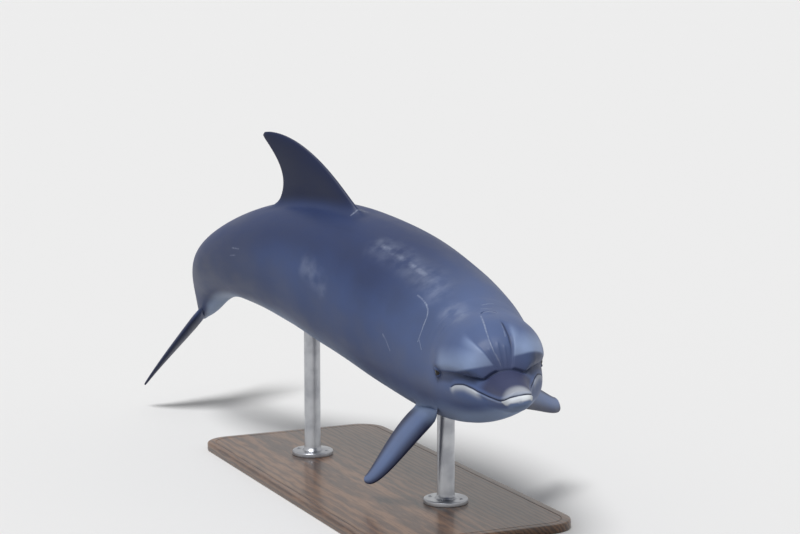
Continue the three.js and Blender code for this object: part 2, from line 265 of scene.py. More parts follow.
# bends: the degrees that the spine turns on its way from the first station to the second
YAWS = [(-17.3, 950, 200), (18.7, 700, 1800), (-7.4, 1400, 2050), (-24.8, 1850, 2300)]
PITCHES = [
    (2.1, 320, 60), (-21.9, 950, 200), (-24, 1200, 2000), (-20, 1800, 2250), (6.3, 2250, 2500),
]
ROLLS = [(6, 320, 60), (-1.6, 1150, 250), (39.6, 1300, 2350)]
FIRST, LAST, STRIDE = -70, 2730, 10


def turned(bends, station):
    return sum(
        math.radians(degrees) * (fade(station, start, end) - fade(MID_BODY, start, end))
        for degrees, start, end in bends
    )


def axes_at(station):
    """Forward, left and up at a station, as the columns of a rotation."""
    whole = Euler([math.radians(degrees) for degrees in ATTITUDE], "XYZ").to_matrix()
    bent = Euler([turned(bends, station) for bends in (ROLLS, PITCHES, YAWS)], "XYZ").to_matrix()
    return whole @ bent


spine = []
for station in range(FIRST, LAST + 1, STRIDE):
    axes = axes_at(station)
    place = Vector()
    if spine:
        place = spine[-1][1] - (axes.col[0] + spine[-1][0].col[0]) * STRIDE / 2
    spine.append((axes, place))
shift = MID_BODY_AT - spine[(MID_BODY - FIRST) // STRIDE][1]
spine = [(axes, place + shift) for axes, place in spine]


def bend(point, root=None):
    """Carries a point of the straight animal to its place, in metres. With a root, the point
    belongs to a stiff piece that grows from that station and doesn't follow the bend."""
    station = min(max(-point.x if root is None else root, FIRST), LAST - 1)
    i = int((station - FIRST) // STRIDE)
    local = Vector((point.x + station, point.y, point.z))
    (axes_a, place_a), (axes_b, place_b) = spine[i], spine[i + 1]
    at_a, at_b = axes_a @ local + place_a, axes_b @ local + place_b
    t = (station - FIRST) / STRIDE - i
    if root is None:
        return at_a.lerp(at_b, t) * MM
    return (at_a if t < 0.5 else at_b) * MM


tip = bend(on_body(JAW_TIP, 0))
print("tip of the jaw at", tuple(round(c, 3) for c in tip))

# %% [markdown]
# ## The cage
# A sculptor's cage is a coarse net of squares that a subdivision surface later smooths. Here it is
# one tube: a circle at the tip of the jaw, extruded ring by ring to the tail. Squares should be
# small where the form is fine, so the rings crowd together at the crease of the beak and at the
# eyes, and the columns gather on each side along the mouth and the eye behind it.

# %% Rings and columns
COLUMNS = 80
HALF_WAY = COLUMNS // 2
FOCUS_COLUMN = 20
EYE = 335, -10  # station and level of the middle of the eye
FOCUS_LEAST = math.radians(40)
CROWDED = 0.4, 2.2  # share of the even spacing left on the head, and how fast columns gather


def spread(start, end, step):
    count = round((end - start) / step)
    return [start + (end - start) * i / count for i in range(count)]


STATIONS = (
    [JAW_TIP, -10.5, -8.5, -6, -3.5, -1, 1.5, 4, 7, 11]
    + spread(16, 124, 7) + spread(124, 168, 4) + spread(168, 440, 8) + spread(440, 1180, 20)
    + spread(1180, 1630, 24) + spread(1630, 2360, 26) + spread(2360, NOTCH, 15) + [NOTCH]
)


def focus_angle(station):
    """The angle that the columns gather round."""
    mouth = angle_at_level(min(station, GAPE), mouth_level(min(station, GAPE)))
    mouth = max(mouth, FOCUS_LEAST)
    eye = angle_at_level(*EYE)
    at_head = mouth + (eye - mouth) * fade(station, GAPE, EYE[0] - 15)
    return at_head + (math.pi / 2 - at_head) * fade(station, 400, 600)


def column_angle(column, station):
    side, step = (1, column) if column <= HALF_WAY else (-1, COLUMNS - column)
    even, power = CROWDED
    even += (1 - even) * fade(station, 380, 640)

    def gather(share):
        return even * share + (1 - even) * (1 - (1 - share) ** power)

    focus = focus_angle(station)
    if step <= FOCUS_COLUMN:
        return side * focus * gather(step / FOCUS_COLUMN)
    below = (HALF_WAY - step) / (HALF_WAY - FOCUS_COLUMN)
    return side * (math.pi - (math.pi - focus) * gather(below))


print(len(STATIONS), "rings of", COLUMNS, "columns")

# %% Extrude the tube
cage = bmesh.new()
column_of = cage.verts.layers.int.new("column")
station_of = cage.verts.layers.float.new("station")
angle_of = cage.verts.layers.float.new("angle")


def lay_ring(verts, station):
    for vert in verts:
        vert[station_of] = station
        vert[angle_of] = column_angle(vert[column_of], station)
        vert.co = on_body(station, vert[angle_of])


ring = bmesh.ops.create_circle(cage, cap_ends=True, segments=COLUMNS, radius=1)["verts"]
for column, vert in enumerate(ring):
    vert[column_of] = column
lay_ring(ring, JAW_TIP)
edges = cage.edges[:]
for station in STATIONS[1:]:
    grown = bmesh.ops.extrude_edge_only(cage, edges=edges)["geom"]
    edges = [part for part in grown if isinstance(part, bmesh.types.BMEdge)]
    lay_ring([part for part in grown if isinstance(part, bmesh.types.BMVert)], station)
bmesh.ops.edgeloop_fill(cage, edges=edges)
bmesh.ops.recalc_face_normals(cage, faces=cage.faces)
print("tube:", len(cage.faces), "faces, volume", round(cage.calc_volume() * 1e-6), "litres")

# %% [markdown]
# ## Fins as blades
# Every fin is a wing: blunt in front, fullest at a third of its width and thin behind. Its outline
# is two smooth curves, a leading and a trailing edge, each with four control points given as
# [along the body, outwards]. A fin could be a piece of its own pushed into the body, but then a seam
# shows all round its root. Growing it out of the body's own faces keeps the skin in one piece.

# %% The outline and section of a fin
TRAILING_HALF = 0.8  # half the thickness of a trailing edge
FULLEST = 2.6  # brings sqrt(chord) * (1 - chord) to 1 where it is largest
THINNING = 0.82  # the share of its thickness that a fin loses from root to tip
ROOT_DEPTH = 400  # how far the blade goes on under the skin, for one span


def bezier(points, t):
    weights = ((1 - t) ** 3, 3 * t * (1 - t) ** 2, 3 * t * t * (1 - t), t ** 3)
    return [sum(w * point[axis] for w, point in zip(weights, points)) for axis in (0, 1)]


class Blade:
    """A fin's shape in its own three directions: along the body, outwards, and thickness."""

    def __init__(self, leading, trailing, half_thick, place, round_front):
        self.leading, self.trailing, self.half_thick = leading, trailing, half_thick
        self.place = place
        self.round_front = round_front

    def point(self, span, chord, side):
        """Span runs from 0 at the root to 1 at the tip, and chord from front to back."""
        front, rear = bezier(self.leading, max(span, 0)), bezier(self.trailing, max(span, 0))
        half = self.half_thick * (1 - THINNING * max(span, 0))
        thick = half * FULLEST * math.sqrt(chord) * (1 - chord) + TRAILING_HALF * chord
        along = front[0] + (rear[0] - front[0]) * chord
        out = front[1] + (rear[1] - front[1]) * chord + ROOT_DEPTH * min(span, 0)
        return self.place(along, out, side * thick)

    def share(self, a, b):
        """Carries a square, -1 to 1 both ways, to the blade's section: (chord, side)."""
        chord = 0.5 + 0.5 * a * math.sqrt(1 - self.round_front * b * b)
        edge = math.sqrt(b * b + (1 - a * a) * (1 - b * b))
        return chord, (b / edge if edge > 1e-6 else 0.0)

    def leaves_body(self, chord, side):
        """The span at which one line of the blade comes out of the body."""
        return halved(-0.25, 0.6, 22, lambda span: outside(self.point(span, chord, side)) > 0)


# %% The five fins
PECTORAL_ROOT = 549
FLIPPER_OUT, FLIPPER_UP = 129, -125


def swing(a, b, degrees):
    """Turns a pair of coordinates, the second towards the first."""
    cosine, sine = math.cos(math.radians(degrees)), math.sin(math.radians(degrees))
    return a * cosine + b * sine, b * cosine - a * sine


def dorsal_place(along, out, thick):
    return Vector((-along, thick, out))


def fluke_place(side):
    return lambda along, out, thick: Vector((-along, side * out, thick))


def flipper_place(side, drop, sweep, twist):
    def place(along, out, thick):
        x, z = swing(along, thick, twist)
        x, y = swing(x, out, sweep)
        y, z = swing(y, z, drop)
        return Vector((-x - PECTORAL_ROOT, side * (y + FLIPPER_OUT), z + FLIPPER_UP))

    return place


# leading edge, trailing edge, and half the thickness in millimetres
DORSAL = ([[1188, 225], [1350, 311], [1449, 446], [1548, 442]],
          [[1612, 160], [1478, 262], [1532, 350], [1556, 431]], 21)
FLIPPER = ([[-88, -14], [-18, 178], [5, 388], [102, 401]],
           [[14, 4], [116, 132], [84, 352], [106, 386]], 17)
FLUKE = ([[2362, 4], [2400, 120], [2520, 262], [2652, 320]],
         [[2590, 0.15], [2652, 84], [2588, 220], [2664, 314]], 19)

# where each lies (flippers: side, and degrees of drop, sweep and twist), and how round in front
dorsal_fin = Blade(*DORSAL, dorsal_place, 0.15)
flipper_left = Blade(*FLIPPER, flipper_place(1, 40, 34, -24), 0.2)
flipper_right = Blade(*FLIPPER, flipper_place(-1, 66, 26, -8), 0.2)
fluke_left, fluke_right = (Blade(*FLUKE, fluke_place(side), 0.5) for side in (1, -1))
print("dorsal fin:", DORSAL[0][-1][1] - round(back(1500)), "mm above the back")

# %% [markdown]
# ## Growing a fin
# A patch of the body's faces is chosen under the fin. Its corners slide over the skin to where the
# blade comes out of the body, and then the patch is extruded again and again, each time a step
# further along the blade, until it is the fin's tip. The faces around the patch are stretched by
# this, so they are relaxed: each corner moves to the average of its neighbours, measured in station
# and angle, which keeps it on the skin.

# %% Grow all five
span_of = cage.verts.layers.float.new("span")
chord_of = cage.verts.layers.float.new("chord")
stiff_of = cage.verts.layers.float.new("stiff")
square_of = cage.verts.layers.float_vector.new("square")
RELAXED_RINGS, RELAXED_TIMES = 7, 30
FLIPPER_COLUMN = 29
FINER_TIP = 1.3  # above 1, the steps get shorter towards the tip


def columns_off(vert, middle_column):
    """How many columns a corner is from one of them, above or below 0."""
    return (vert[column_of] - middle_column + HALF_WAY) % COLUMNS - HALF_WAY


def patch_faces(first, last, middle_column, wide):
    """The faces between two stations, up to so many columns each side of one."""

    def inside(vert):
        near = abs(columns_off(vert, middle_column)) <= wide
        return vert[span_of] == 0 and near and first <= vert[station_of] <= last

    return [face for face in cage.faces if all(inside(vert) for vert in face.verts)]


def settle(vert):
    """Puts a corner back on the body's skin at its station and angle."""
    vert.co = on_body(vert[station_of], vert[angle_of])


def relax_around(pinned):
    zone, rim = set(), set(pinned)
    for _ in range(RELAXED_RINGS):
        rim = {edge.other_vert(vert) for vert in rim for edge in vert.link_edges} - pinned - zone
        rim = {v for v in rim if v[span_of] == 0 and v[column_of] not in (0, HALF_WAY)}
        zone |= rim
    zone = [v for v in zone if len(v.link_edges) == 4]
    for _ in range(RELAXED_TIMES):
        moves = []
        for vert in zone:
            near = [edge.other_vert(vert) for edge in vert.link_edges]
            moves.append([sum(v[layer] for v in near) / 4 for layer in (station_of, angle_of)])
        for vert, (station, angle) in zip(zone, moves):
            vert[station_of], vert[angle_of] = station, angle
    for vert in zone:
        settle(vert)


def grow(blade, stations, middle_column, wide, rings, stiff=0.0):
    """Grows a fin from a patch between two stations, so many columns wide each side of one."""
    faces = patch_faces(*stations, middle_column, wide)
    verts = {vert for face in faces for vert in face.verts}
    first = min(vert[station_of] for vert in verts)
    last = max(vert[station_of] for vert in verts)
    for vert in verts:
        a = 2 * (vert[station_of] - first) / (last - first) - 1
        b = columns_off(vert, middle_column) / wide
        chord, side = blade.share(a, -b if middle_column > HALF_WAY else b)
        vert[square_of] = chord, side, blade.leaves_body(chord, side)
    for vert in verts:
        chord, side, start = vert[square_of]
        root = blade.point(start, chord, side)
        vert[station_of] = -root.x
        vert[angle_of] = angle_round(root)
        settle(vert)
    relax_around(verts)
    for i in range(1, rings + 1):
        share = 1 - (1 - i / rings) ** FINER_TIP
        grown = bmesh.ops.extrude_face_region(cage, geom=faces)["geom"]
        bmesh.ops.delete(cage, geom=faces, context="FACES")
        faces = [part for part in grown if isinstance(part, bmesh.types.BMFace)]
        for vert in {vert for face in faces for vert in face.verts}:
            chord, side, start = vert[square_of]
            vert.co = blade.point(start + (1 - start) * share, chord, side)
            vert[span_of] = share
            vert[chord_of] = chord
            vert[stiff_of] = stiff
            vert[station_of] = -vert.co.x
    print("grown:", len(faces), "faces at the tip,", rings, "steps")


grow(dorsal_fin, (1190, 1610), 0, 2, 16)
grow(flipper_left, (495, 605), FLIPPER_COLUMN, 2, 16, stiff=1)
grow(flipper_right, (495, 605), COLUMNS - FLIPPER_COLUMN, 2, 16, stiff=1)
grow(fluke_left, (2372, 2596), FOCUS_COLUMN, 6, 15)
grow(fluke_right, (2372, 2596), COLUMNS - FOCUS_COLUMN, 6, 15)
print("cage:", len(cage.faces), "faces, closed:", all(edge.is_manifold for edge in cage.edges))

# %% [markdown]
# ## Smoothing the cage
# One level of subdivision surface rounds the net and turns the hard corner at each fin's root into a
# fillet. It is applied here and not left live, because finer work follows: lids, lips and folds are
# cut into the smoothed skin, and they would be washed out by a later smoothing. Where a fin's edge
# meets the body the surface still pinches, so the corners round the roots are averaged with their
# neighbours again and again, and so are those of the fins' tips.

# %% Apply one level of subdivision
ROOT_SOFTENING = [(0.20, 1), (0.14, 2), (0.09, 2), (0.05, 3)]  # share of the span, times
TAIL_ROOT, TAIL_ROOT_TIMES = 2480, 40  # from this station on the flukes' roots run together
FIN_TIP, FIN_TIP_TIMES = 0.97, 30


def placed(name, data):
    """A new object in the scene."""
    piece = bpy.data.objects.new(name, data)
    bpy.context.scene.collection.objects.link(piece)
    return piece


def mesh_of(shape, name="loose"):
    """Turns a bmesh into a mesh, and frees it."""
    mesh = bpy.data.meshes.new(name)
    shape.to_mesh(mesh)
    shape.free()
    return mesh


def piece_of(name, shape, slot, *nodes, sharp=None):
    """Makes a bmesh a piece of the model, in the place of these nodes of the frame. It is smooth,
    but for edges that turn by more than so many degrees."""
    mesh = mesh_of(shape, name)
    mesh.shade_smooth()
    if sharp:
        mesh.set_sharp_from_angle(angle=math.radians(sharp))
    piece = placed(name, mesh)
    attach(piece, "root")
    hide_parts(*nodes)
    return piece


def smoothed(source, levels):
    """A new bmesh with the subdivision surface of another one, which is freed."""
    mesh = mesh_of(source)
    holder = placed("cage", mesh)
    surface = holder.modifiers.new("smooth", "SUBSURF")
    surface.levels = surface.render_levels = levels
    evaluated = holder.evaluated_get(bpy.context.evaluated_depsgraph_get())
    result = bmesh.new()
    result.from_mesh(evaluated.to_mesh())
    evaluated.to_mesh_clear()
    bpy.data.objects.remove(holder)
    bpy.data.meshes.remove(mesh)
    return result


skin = smoothed(cage, 1)
span_of = skin.verts.layers.float["span"]
chord_of = skin.verts.layers.float["chord"]
stiff_of = skin.verts.layers.float["stiff"]


def soften(verts, times):
    axes = {"use_axis_x": True, "use_axis_y": True, "use_axis_z": True}
    for _ in range(times):
        bmesh.ops.smooth_vert(skin, verts=verts, factor=0.5, **axes)


for reach, times in ROOT_SOFTENING:
    zone = {vert for vert in skin.verts if 0 < vert[span_of] < reach}
    for _ in range(2):
        zone |= {edge.other_vert(vert) for vert in zone for edge in vert.link_edges}
    soften([vert for vert in zone if vert[span_of] < reach], times)
tail_root = [vert for vert in skin.verts if -vert.co.x > TAIL_ROOT and vert[span_of] < 0.3]
soften(tail_root, TAIL_ROOT_TIMES)
soften([vert for vert in skin.verts if vert[span_of] > FIN_TIP], FIN_TIP_TIMES)
print("skin:", len(skin.faces), "faces,", len(zone), "corners at the fins' roots")

# %% [markdown]
# ## Lines on the skin
# Folds, grooves, scars and the blowhole are all lines that run over the body. Each is described as
# an animal's anatomist would: from this station at this angle to that one. Samples laid along the
# line go into a KD-tree, which then says at once how far any corner of the mesh is from the line.

# %% A line on the skin


class SkinLine:
    """A fold where the height is above 0 and a groove where it is below. It runs out over the
    last share of its length at each end."""

    def __init__(self, points, width, height, ending=0.25):
        self.width, self.height = width, height
        self.count = len(points)
        self.ending = max(ending * self.count, 1)
        self.tree = kdtree.KDTree(self.count)
        for index, point in enumerate(points):
            self.tree.insert(point, index)
        self.tree.balance()

    def at(self, point):
        """The height of the fold here, and how far away its line is."""
        _, index, distance = self.tree.find(point)
        if distance > 3 * self.width:
            return 0.0, distance
        whole = ease((min(index, self.count - 1 - index) + 0.5) / self.ending)
        return self.height * whole * hump(distance, self.width), distance


def run(stops):
    """Points every millimetre over the skin through rows of station and angle in degrees."""
    angle = profile(stops)
    first, last = stops[0][0], stops[-1][0]
    count = max(round(last - first), 8)
    stations = [first + (last - first) * i / count for i in range(count + 1)]
    return [on_body(station, math.radians(angle(station))) for station in stations]


FOLDS = {  # stations and degrees, width, height; the animal's own right has a minus sign
    "pale_fold": SkinLine(run([[140, -5], [148, -9], [169, -9], [215, -8], [290, -7]]), 2.6, 1.2),
    "pleat_right": SkinLine(run([[136, -13], [146, -13], [158, -14]]), 3.2, 1.5),
    "pleat_middle": SkinLine(run([[136, -1], [146, -2], [164, -1]]), 3.2, 1.6),
    "pleat_left": SkinLine(run([[136, 8], [146, 7], [158, 6]]), 3.0, 1.4),
    "left_groove": SkinLine(run([[138, 17], [151, 16], [163, 14], [191, 11], [240, 8]]), 3.6, -3.2),
    "right_swell": SkinLine(run([[352, -37], [410, -33]]), 24, 2.5),
    "navel": SkinLine(run([[1392, 180], [1404, 180]]), 5, -3.0),
    "slit": SkinLine(run([[1690, 180], [1830, 180]]), 3.5, -4.5, 0.12),
}
print("lines:", ", ".join(FOLDS))

# %% [markdown]
# ## Brows
# Seen from the front, the melon of this dolphin isn't a plain ball: on each side of a sunken middle
# lies a broad plane, which rises at a sharp inner edge, fades out towards the eye, and overhangs the
# face below. A line can't make a plane, so this relief is a step: nothing on one side of the edge,
# and on the other a height that dies away slowly.

# %% The planes of the brows
FAR = 99.0  # a distance too large to matter
BROWS = {  # side: inner edge in degrees by station, level of the lower edge, height
    -1: (profile([[137, 16], [143, 19], [153, 21], [173, 24], [205, 26], [260, 27]]),
         profile([[140, 9], [162, 7], [222, -3], [300, -6]]), 5.0),
    1: (profile([[137, 20], [151, 19], [191, 14], [240, 10]]),
        profile([[140, 22], [158, 25], [217, 18], [300, -2]]), 4.0),
}


def brow_place(point):
    """Where a point lies on its brow: past the inner edge, over the lower edge, off the fold."""
    station = -point.x
    if not 130 < station < 360:
        return None
    angle = angle_round(point)
    edge, low, _ = BROWS[-1 if angle < 0 else 1]
    across = math.radians(math.degrees(abs(angle)) - edge(station)) * skin_radius(station, angle)
    return across, point.z - low(station), fold_away(station, angle)


def brow(point):
    """How far the brow's plane stands up here, how pale it is, as blaze and painted highlight, and
    the painted shadow under it.
    """
    found = brow_place(point)
    if not found:
        return 0.0, 0.0, 0.0
    station, (across, above, off_fold) = -point.x, found
    edge_width = 7 + 9 * fade(station, 158, 218)
    rise = ease((across + 3) / edge_width)
    height = BROWS[-1 if point.y < 0 else 1][2] * rise * fade(off_fold, 0, 9)
    height *= fade(station, 245, 190) * (1 - fade(across, 35, 95))
    # The pale of a brow: partly a pale blaze, partly a painted highlight where the plane faces the
    # lamp, by the inner edge and over the eye.
    by_edge = 0.8 * hump(across, 26) * fade(station, 232, 172)
    by_face = fade(above, 78, 12) * fade(station, 330, 270)
    pale = rise * fade(above, -3, 5) * max(by_edge, by_face) * (1 - fade(across, 110, 170))
    # A painted shadow under the overhanging brow, down to the mouth.
    under = fade(above, 2, -7) * fade(point.z - mouth_level(station), 4, 20)
    under *= fade(station, 146, 172) * fade(station, 352, 322) * fade(abs(point.y), 40, 60)
    return height, pale, under


def brow_away(point):
    """The distance to the nearest edge of a brow."""
    found = brow_place(point)
    if not found:
        return FAR
    across, above, off_fold = found
    return min(
        abs(across) if above > -12 and -point.x < 240 else FAR,
        abs(above) if across > 0 else FAR,
        max(abs(off_fold - 8) - 8, 0) if -point.x < 260 else FAR,
    )


print("brows: planes", BROWS[-1][2], "and", BROWS[1][2], "mm high")

# %% [markdown]
# ## The blowhole
# A bottlenose dolphin breathes through one crescent slit on top of its head, with the hollow side of
# the crescent towards the beak. A plug of flesh closes it from in front. As a line it is an arc.

# %% The crescent of the blowhole
BLOWHOLE = 318, 5  # station of the rear of the crescent, and its middle's distance to the left
BLOWHOLE_RADIUS, BLOWHOLE_TURN = 24, 66  # of the arc, and degrees each side of its middle
PLUG_HEIGHT, PLUG_WIDTH, PLUG_AHEAD = 2.4, 13, 15
ARC_STEPS = 30  # each side of the arc's middle


def crescent():
    points = []
    for step in range(-ARC_STEPS, ARC_STEPS + 1):
        turn = math.radians(BLOWHOLE_TURN * step / ARC_STEPS)
        station = BLOWHOLE[0] - BLOWHOLE_RADIUS * (1 - math.cos(turn))
        y = BLOWHOLE[1] + BLOWHOLE_RADIUS * math.sin(turn)
        points.append(on_body(station, math.asin(y / skin_radius(station, 0))))
    return points


SLIT = SkinLine(crescent(), 2.3, -4.6, 0.12)
SLIT_RIM = SkinLine(crescent(), 5.5, 1.5)
PLUG = on_body(BLOWHOLE[0] - PLUG_AHEAD, math.asin(BLOWHOLE[1] / skin_radius(BLOWHOLE[0], 0)))


def blowhole_relief(point):
    groove, distance = SLIT.at(point)
    plug = PLUG_HEIGHT * hump((point - PLUG).length, PLUG_WIDTH)
    return groove + SLIT_RIM.at(point)[0] + plug, distance


print("blowhole:", round(2 * BLOWHOLE_RADIUS * math.sin(math.radians(BLOWHOLE_TURN))), "mm wide")

# %% [markdown]
# ## The mouth
# The jaws meet in one line that runs from a corner below and before the eye to the tip of the beak
# and round it. The line is where the skin's level equals the mouth's level. How steeply the skin
# crosses that level turns the difference into a distance measured over the skin, on which lips are
# easy to describe: a narrow groove, with the roll of a lip above it and another below.

# %% Distance from the line of the mouth
LIP_GROOVE = -3.4, 0, 1.7  # height, distance of its middle from the line, half width
UPPER_LIP = 1.5, 5.5, 3.6
LOWER_LIP = 1.3, -5.5, 3.8
LEAST_SLOPE = 0.25


def ridge(shape, away):
    """The height of a rounded ridge, or a groove, at a distance from the line it follows."""
    height, middle, half_wide = shape
    return height * hump(away - middle, half_wide)


def mouth_distance(point, normal):
    """Signed distance from the line of the mouth, above it positive, and how far past its end."""
    station = -point.x
    level = mouth_level(station)
    slope = mouth_level(station - 0.5) - mouth_level(station + 0.5)
    steepest = Vector((-slope, 0, 1))
    over_skin = steepest - normal * steepest.dot(normal)
    return (point.z - level) / max(over_skin.length, LEAST_SLOPE), max(station - GAPE, 0)


def mouth_relief(point, normal):
    """The height of the lips and their groove, and the distance from the groove."""
    station = -point.x
    if station > GAPE + 30:
        return 0.0, FAR
    across, past = mouth_distance(point, normal)
    distance = math.hypot(across, past)
    ending = fade(station, GAPE + 4, GAPE - 41)
    groove = ridge(LIP_GROOVE, distance) * (0.35 + 0.65 * ending)
    beak = fade(station, 215, 135) * hump(past, 6)
    upper = ridge(UPPER_LIP, across) * fade(station, 0, 20)
    lower = ridge(LOWER_LIP, across) * fade(station, 8, 38)
    return groove + (upper + lower) * beak * ending, distance


print("mouth:", GAPE - JAW_TIP, "mm from corner to tip")

# %% [markdown]
# ## Eyes and lids
# The eyeball is a ball of its own, mostly under the skin. The skin opens over it in a slot longer
# than it is tall. Distances are taken from the rim of that slot: inside it the skin drops steeply
# past the ball, at the rim it stands a little proud of the ball, and outside it runs down to the
# cheek over a lid fold and a few wrinkles. The ball's place is read back from the frame.

# %% The eye's own directions
LID_LENGTH, LID_HEIGHT = 14.0, 8.6  # half sizes of the opening
LID_THICK = 1.1
LID_LEAN = 0.06  # levels the opening a little, where the skin slopes down towards the beak
SOCKET_FLOOR = -9.0
SOCKET = -2.2, 0, 30  # height, distance of its middle and half width, and so on
BROW_BONE, BROW_BONE_LONG = (3.0, 24, 11), 26
LID_ROLL = 0.9, 3, 2.2
LID_FOLD = -2.0, 7.5, 1.4
LID_CORNER = -1.6, 0, 1.8
WRINKLE_HEIGHT, WRINKLE_TURN = 0.55, 1.5  # millimetres, and radians for each one off the rim


def straightened(point, station):
    """The straight animal's point for one in metres near a station: the opposite of bend."""
    axes, place = spine[round((station - FIRST) / STRIDE)]
    local = axes.transposed() @ (point / MM - place)
    centre = FIRST + STRIDE * round((station - FIRST) / STRIDE)
    return Vector((local.x - centre, local.y, local.z))


def ball(node):
    low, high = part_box(node)
    return (low + high) / 2, (high.x - low.x) / 2


eye_middle, eye_radius = ball("eye_left")
eye_middle, eye_radius = straightened(eye_middle, EYE[0]), eye_radius / MM
eye_skin_angle = math.atan2(eye_middle.y, eye_middle.z - waist(EYE[0]))
on_lid = on_body(EYE[0], eye_skin_angle)
EYE_BACK = (on_body(EYE[0] + 3, eye_skin_angle) - on_body(EYE[0] - 3, eye_skin_angle)).normalized()
EYE_UP = on_body(EYE[0], eye_skin_angle - 0.02) - on_body(EYE[0], eye_skin_angle + 0.02)
EYE_UP = (EYE_UP - EYE_BACK * EYE_UP.dot(EYE_BACK)).normalized()
EYE_OUT = EYE_UP.cross(EYE_BACK)
EYE_OUT *= math.copysign(1, EYE_OUT.y)
eye_depth = (on_lid - eye_middle).dot(EYE_OUT)


def eye_relief(point):
    """The lids' height over the cheek, and the distance from their rim, below 0 inside it."""
    offset = Vector((point.x, abs(point.y), point.z)) - eye_middle
    along, up = offset.dot(EYE_BACK), offset.dot(EYE_UP)
    reach = math.hypot(along, up)
    if reach > 60 or offset.dot(EYE_OUT) < 0:
        return 0.0, FAR
    up += LID_LEAN * along
    squash = math.hypot(along / LID_LENGTH, up / LID_HEIGHT)
    rim_reach = reach / max(squash, 1e-3)
    distance = reach - rim_reach
    ball_height = math.sqrt(max(eye_radius ** 2 - rim_reach ** 2, 0)) - eye_depth
    rim = ball_height + LID_THICK
    around = ridge(SOCKET, reach) + ridge(BROW_BONE, up) * hump(along, BROW_BONE_LONG)
    if distance < 0:
        return max(rim + 1.8 * distance, SOCKET_FLOOR), distance
    lid = (rim + ridge(LID_ROLL, distance)) * (1 - fade(distance, 0, 15))
    fold = ridge(LID_FOLD, distance - 0.8 * math.sin(along / 9))
    waves = math.sin(distance * WRINKLE_TURN + 0.6 * math.sin(along / 5))
    wrinkles = waves * WRINKLE_HEIGHT * fade(distance, 6, 11) * fade(distance, 26, 16)
    corner = ridge(LID_CORNER, up) * fade(abs(along), LID_LENGTH - 1, LID_LENGTH + 2)
    corner *= fade(abs(along), LID_LENGTH + 13, LID_LENGTH + 5)
    return lid + fold + wrinkles + corner + around * fade(distance, 0, 12), distance


print("eye:", round(eye_radius, 1), "mm ball,", round(eye_depth, 1), "mm under the skin")

# %% [markdown]
# ## Corners where they are needed
# Lids and lips turn over a millimetre or two, while the squares of the skin are several times that.
# Making the whole skin so fine would take millions of faces. So the edges are cut in two only near a
# line that needs it, three times over, and after each cut the new corners are put on the true skin.
# The very tip of the jaw, where all the columns meet, is a dome on its last ring instead. The fold
# under the brows runs slantwise over the squares, so it's averaged a little at the end.

# %% Cut the edges near fine detail
HEAD_END = 430
NOSE, NOSE_DOME = -8, 4.5  # station where the dome begins, and its height
HEAD_EASE = 30  # over which the settled head runs into the smoothed body
MIDLINE = 30  # behind the head, detail lies only this near the middle of the back and belly
FINENESS = [(3, 1.5), (8, 3.0), (18, 6.0)]  # nearer than this to a line, edges of this length
CUTS, OVER_LONG = 3, 1.4  # an edge is cut when it is so many times longer than wanted
FOLD_BAND, FOLD_END, FOLD_TIMES = (-12, 24), 300, 8
SHARP_LINES = [line for line in FOLDS.values() if line.width < 6] + [SLIT]


def wanted_edge(vert):
    """The longest edge, in millimetres, that still shows the detail near this corner."""
    if vert[span_of] > 0 or -vert.co.x > HEAD_END and abs(vert.co.y) > MIDLINE:
        return FAR
    near = [line.at(vert.co)[1] - line.width for line in SHARP_LINES]
    if -vert.co.x < HEAD_END:
        near.append(mouth_relief(vert.co, vert.normal)[1] - 1)
        near.append(abs(eye_relief(vert.co)[1]) - 4)
        near.append(brow_away(vert.co))
    nearest = min(near)
    return next((length for reach, length in FINENESS if nearest < reach), FAR)


def settle_head():
    for vert in skin.verts:
        station = -vert.co.x
        if station > HEAD_END or vert[span_of] > 0:
            continue
        up = vert.co.z - waist(max(station, NOSE))
        angle = math.atan2(vert.co.y, up)
        if station < NOSE:
            share = min(math.hypot(vert.co.y, up) / skin_radius(NOSE, angle), 1)
            vert.co.x = NOSE_DOME * (1 - share * share) - NOSE
        else:
            settled = fade(station, HEAD_END, HEAD_END - HEAD_EASE)
            vert.co = vert.co.lerp(on_body(station, angle), settled)
    skin.normal_update()


settle_head()
for _ in range(CUTS):
    wanted = {vert: wanted_edge(vert) for vert in skin.verts}
    long_edges = [
        edge for edge in skin.edges
        if edge.calc_length() > OVER_LONG * min(wanted[edge.verts[0]], wanted[edge.verts[1]])
    ]
    bmesh.ops.subdivide_edges(skin, edges=long_edges, cuts=1, use_grid_fill=True)
    settle_head()
    print("cut", len(long_edges), "edges")
folded = []
for vert in skin.verts:
    found = brow_place(vert.co) if vert[span_of] == 0 else None
    if found and FOLD_BAND[0] < found[2] < FOLD_BAND[1] and -vert.co.x < FOLD_END:
        folded.append(vert)
soften(folded, FOLD_TIMES)
skin.normal_update()
print("skin:", sum(len(face.verts) - 2 for face in skin.faces), "triangles,", len(folded), "softened")

# %% [markdown]
# ## Carving
# Each corner now moves along its own normal by the sum of the reliefs there. The same lines tell how
# deep in a groove it lies, which is kept as an attribute: the material reads it later and paints
# shade into the groove. So is the corner's place on the straight animal, because markings and scars
# follow the body and have to bend with it.

# %% Carve the folds, lips and lids
crevice_of = skin.verts.layers.float.new("crevice")
CREASE_DEPTH, CREASE_WIDTH = 2.2, 4.0
# A groove's depth also sets how much painted shade it gets in the skin's material.
DEEPEST = 4.2  # a groove this deep is wholly dark


def beak_crease(point):
    """The groove between the forehead and the jaws under it, deepest round the beak's root."""
    station = -point.x
    away = fold_away(station, angle_round(point))
    if away is None or station > 300:
        return 0.0
    strength = fade(station, 128, 136) * (1 - 0.75 * fade(station, 150, 260))
    return -CREASE_DEPTH * strength * hump(away, CREASE_WIDTH) * fade(station, 300, 260)


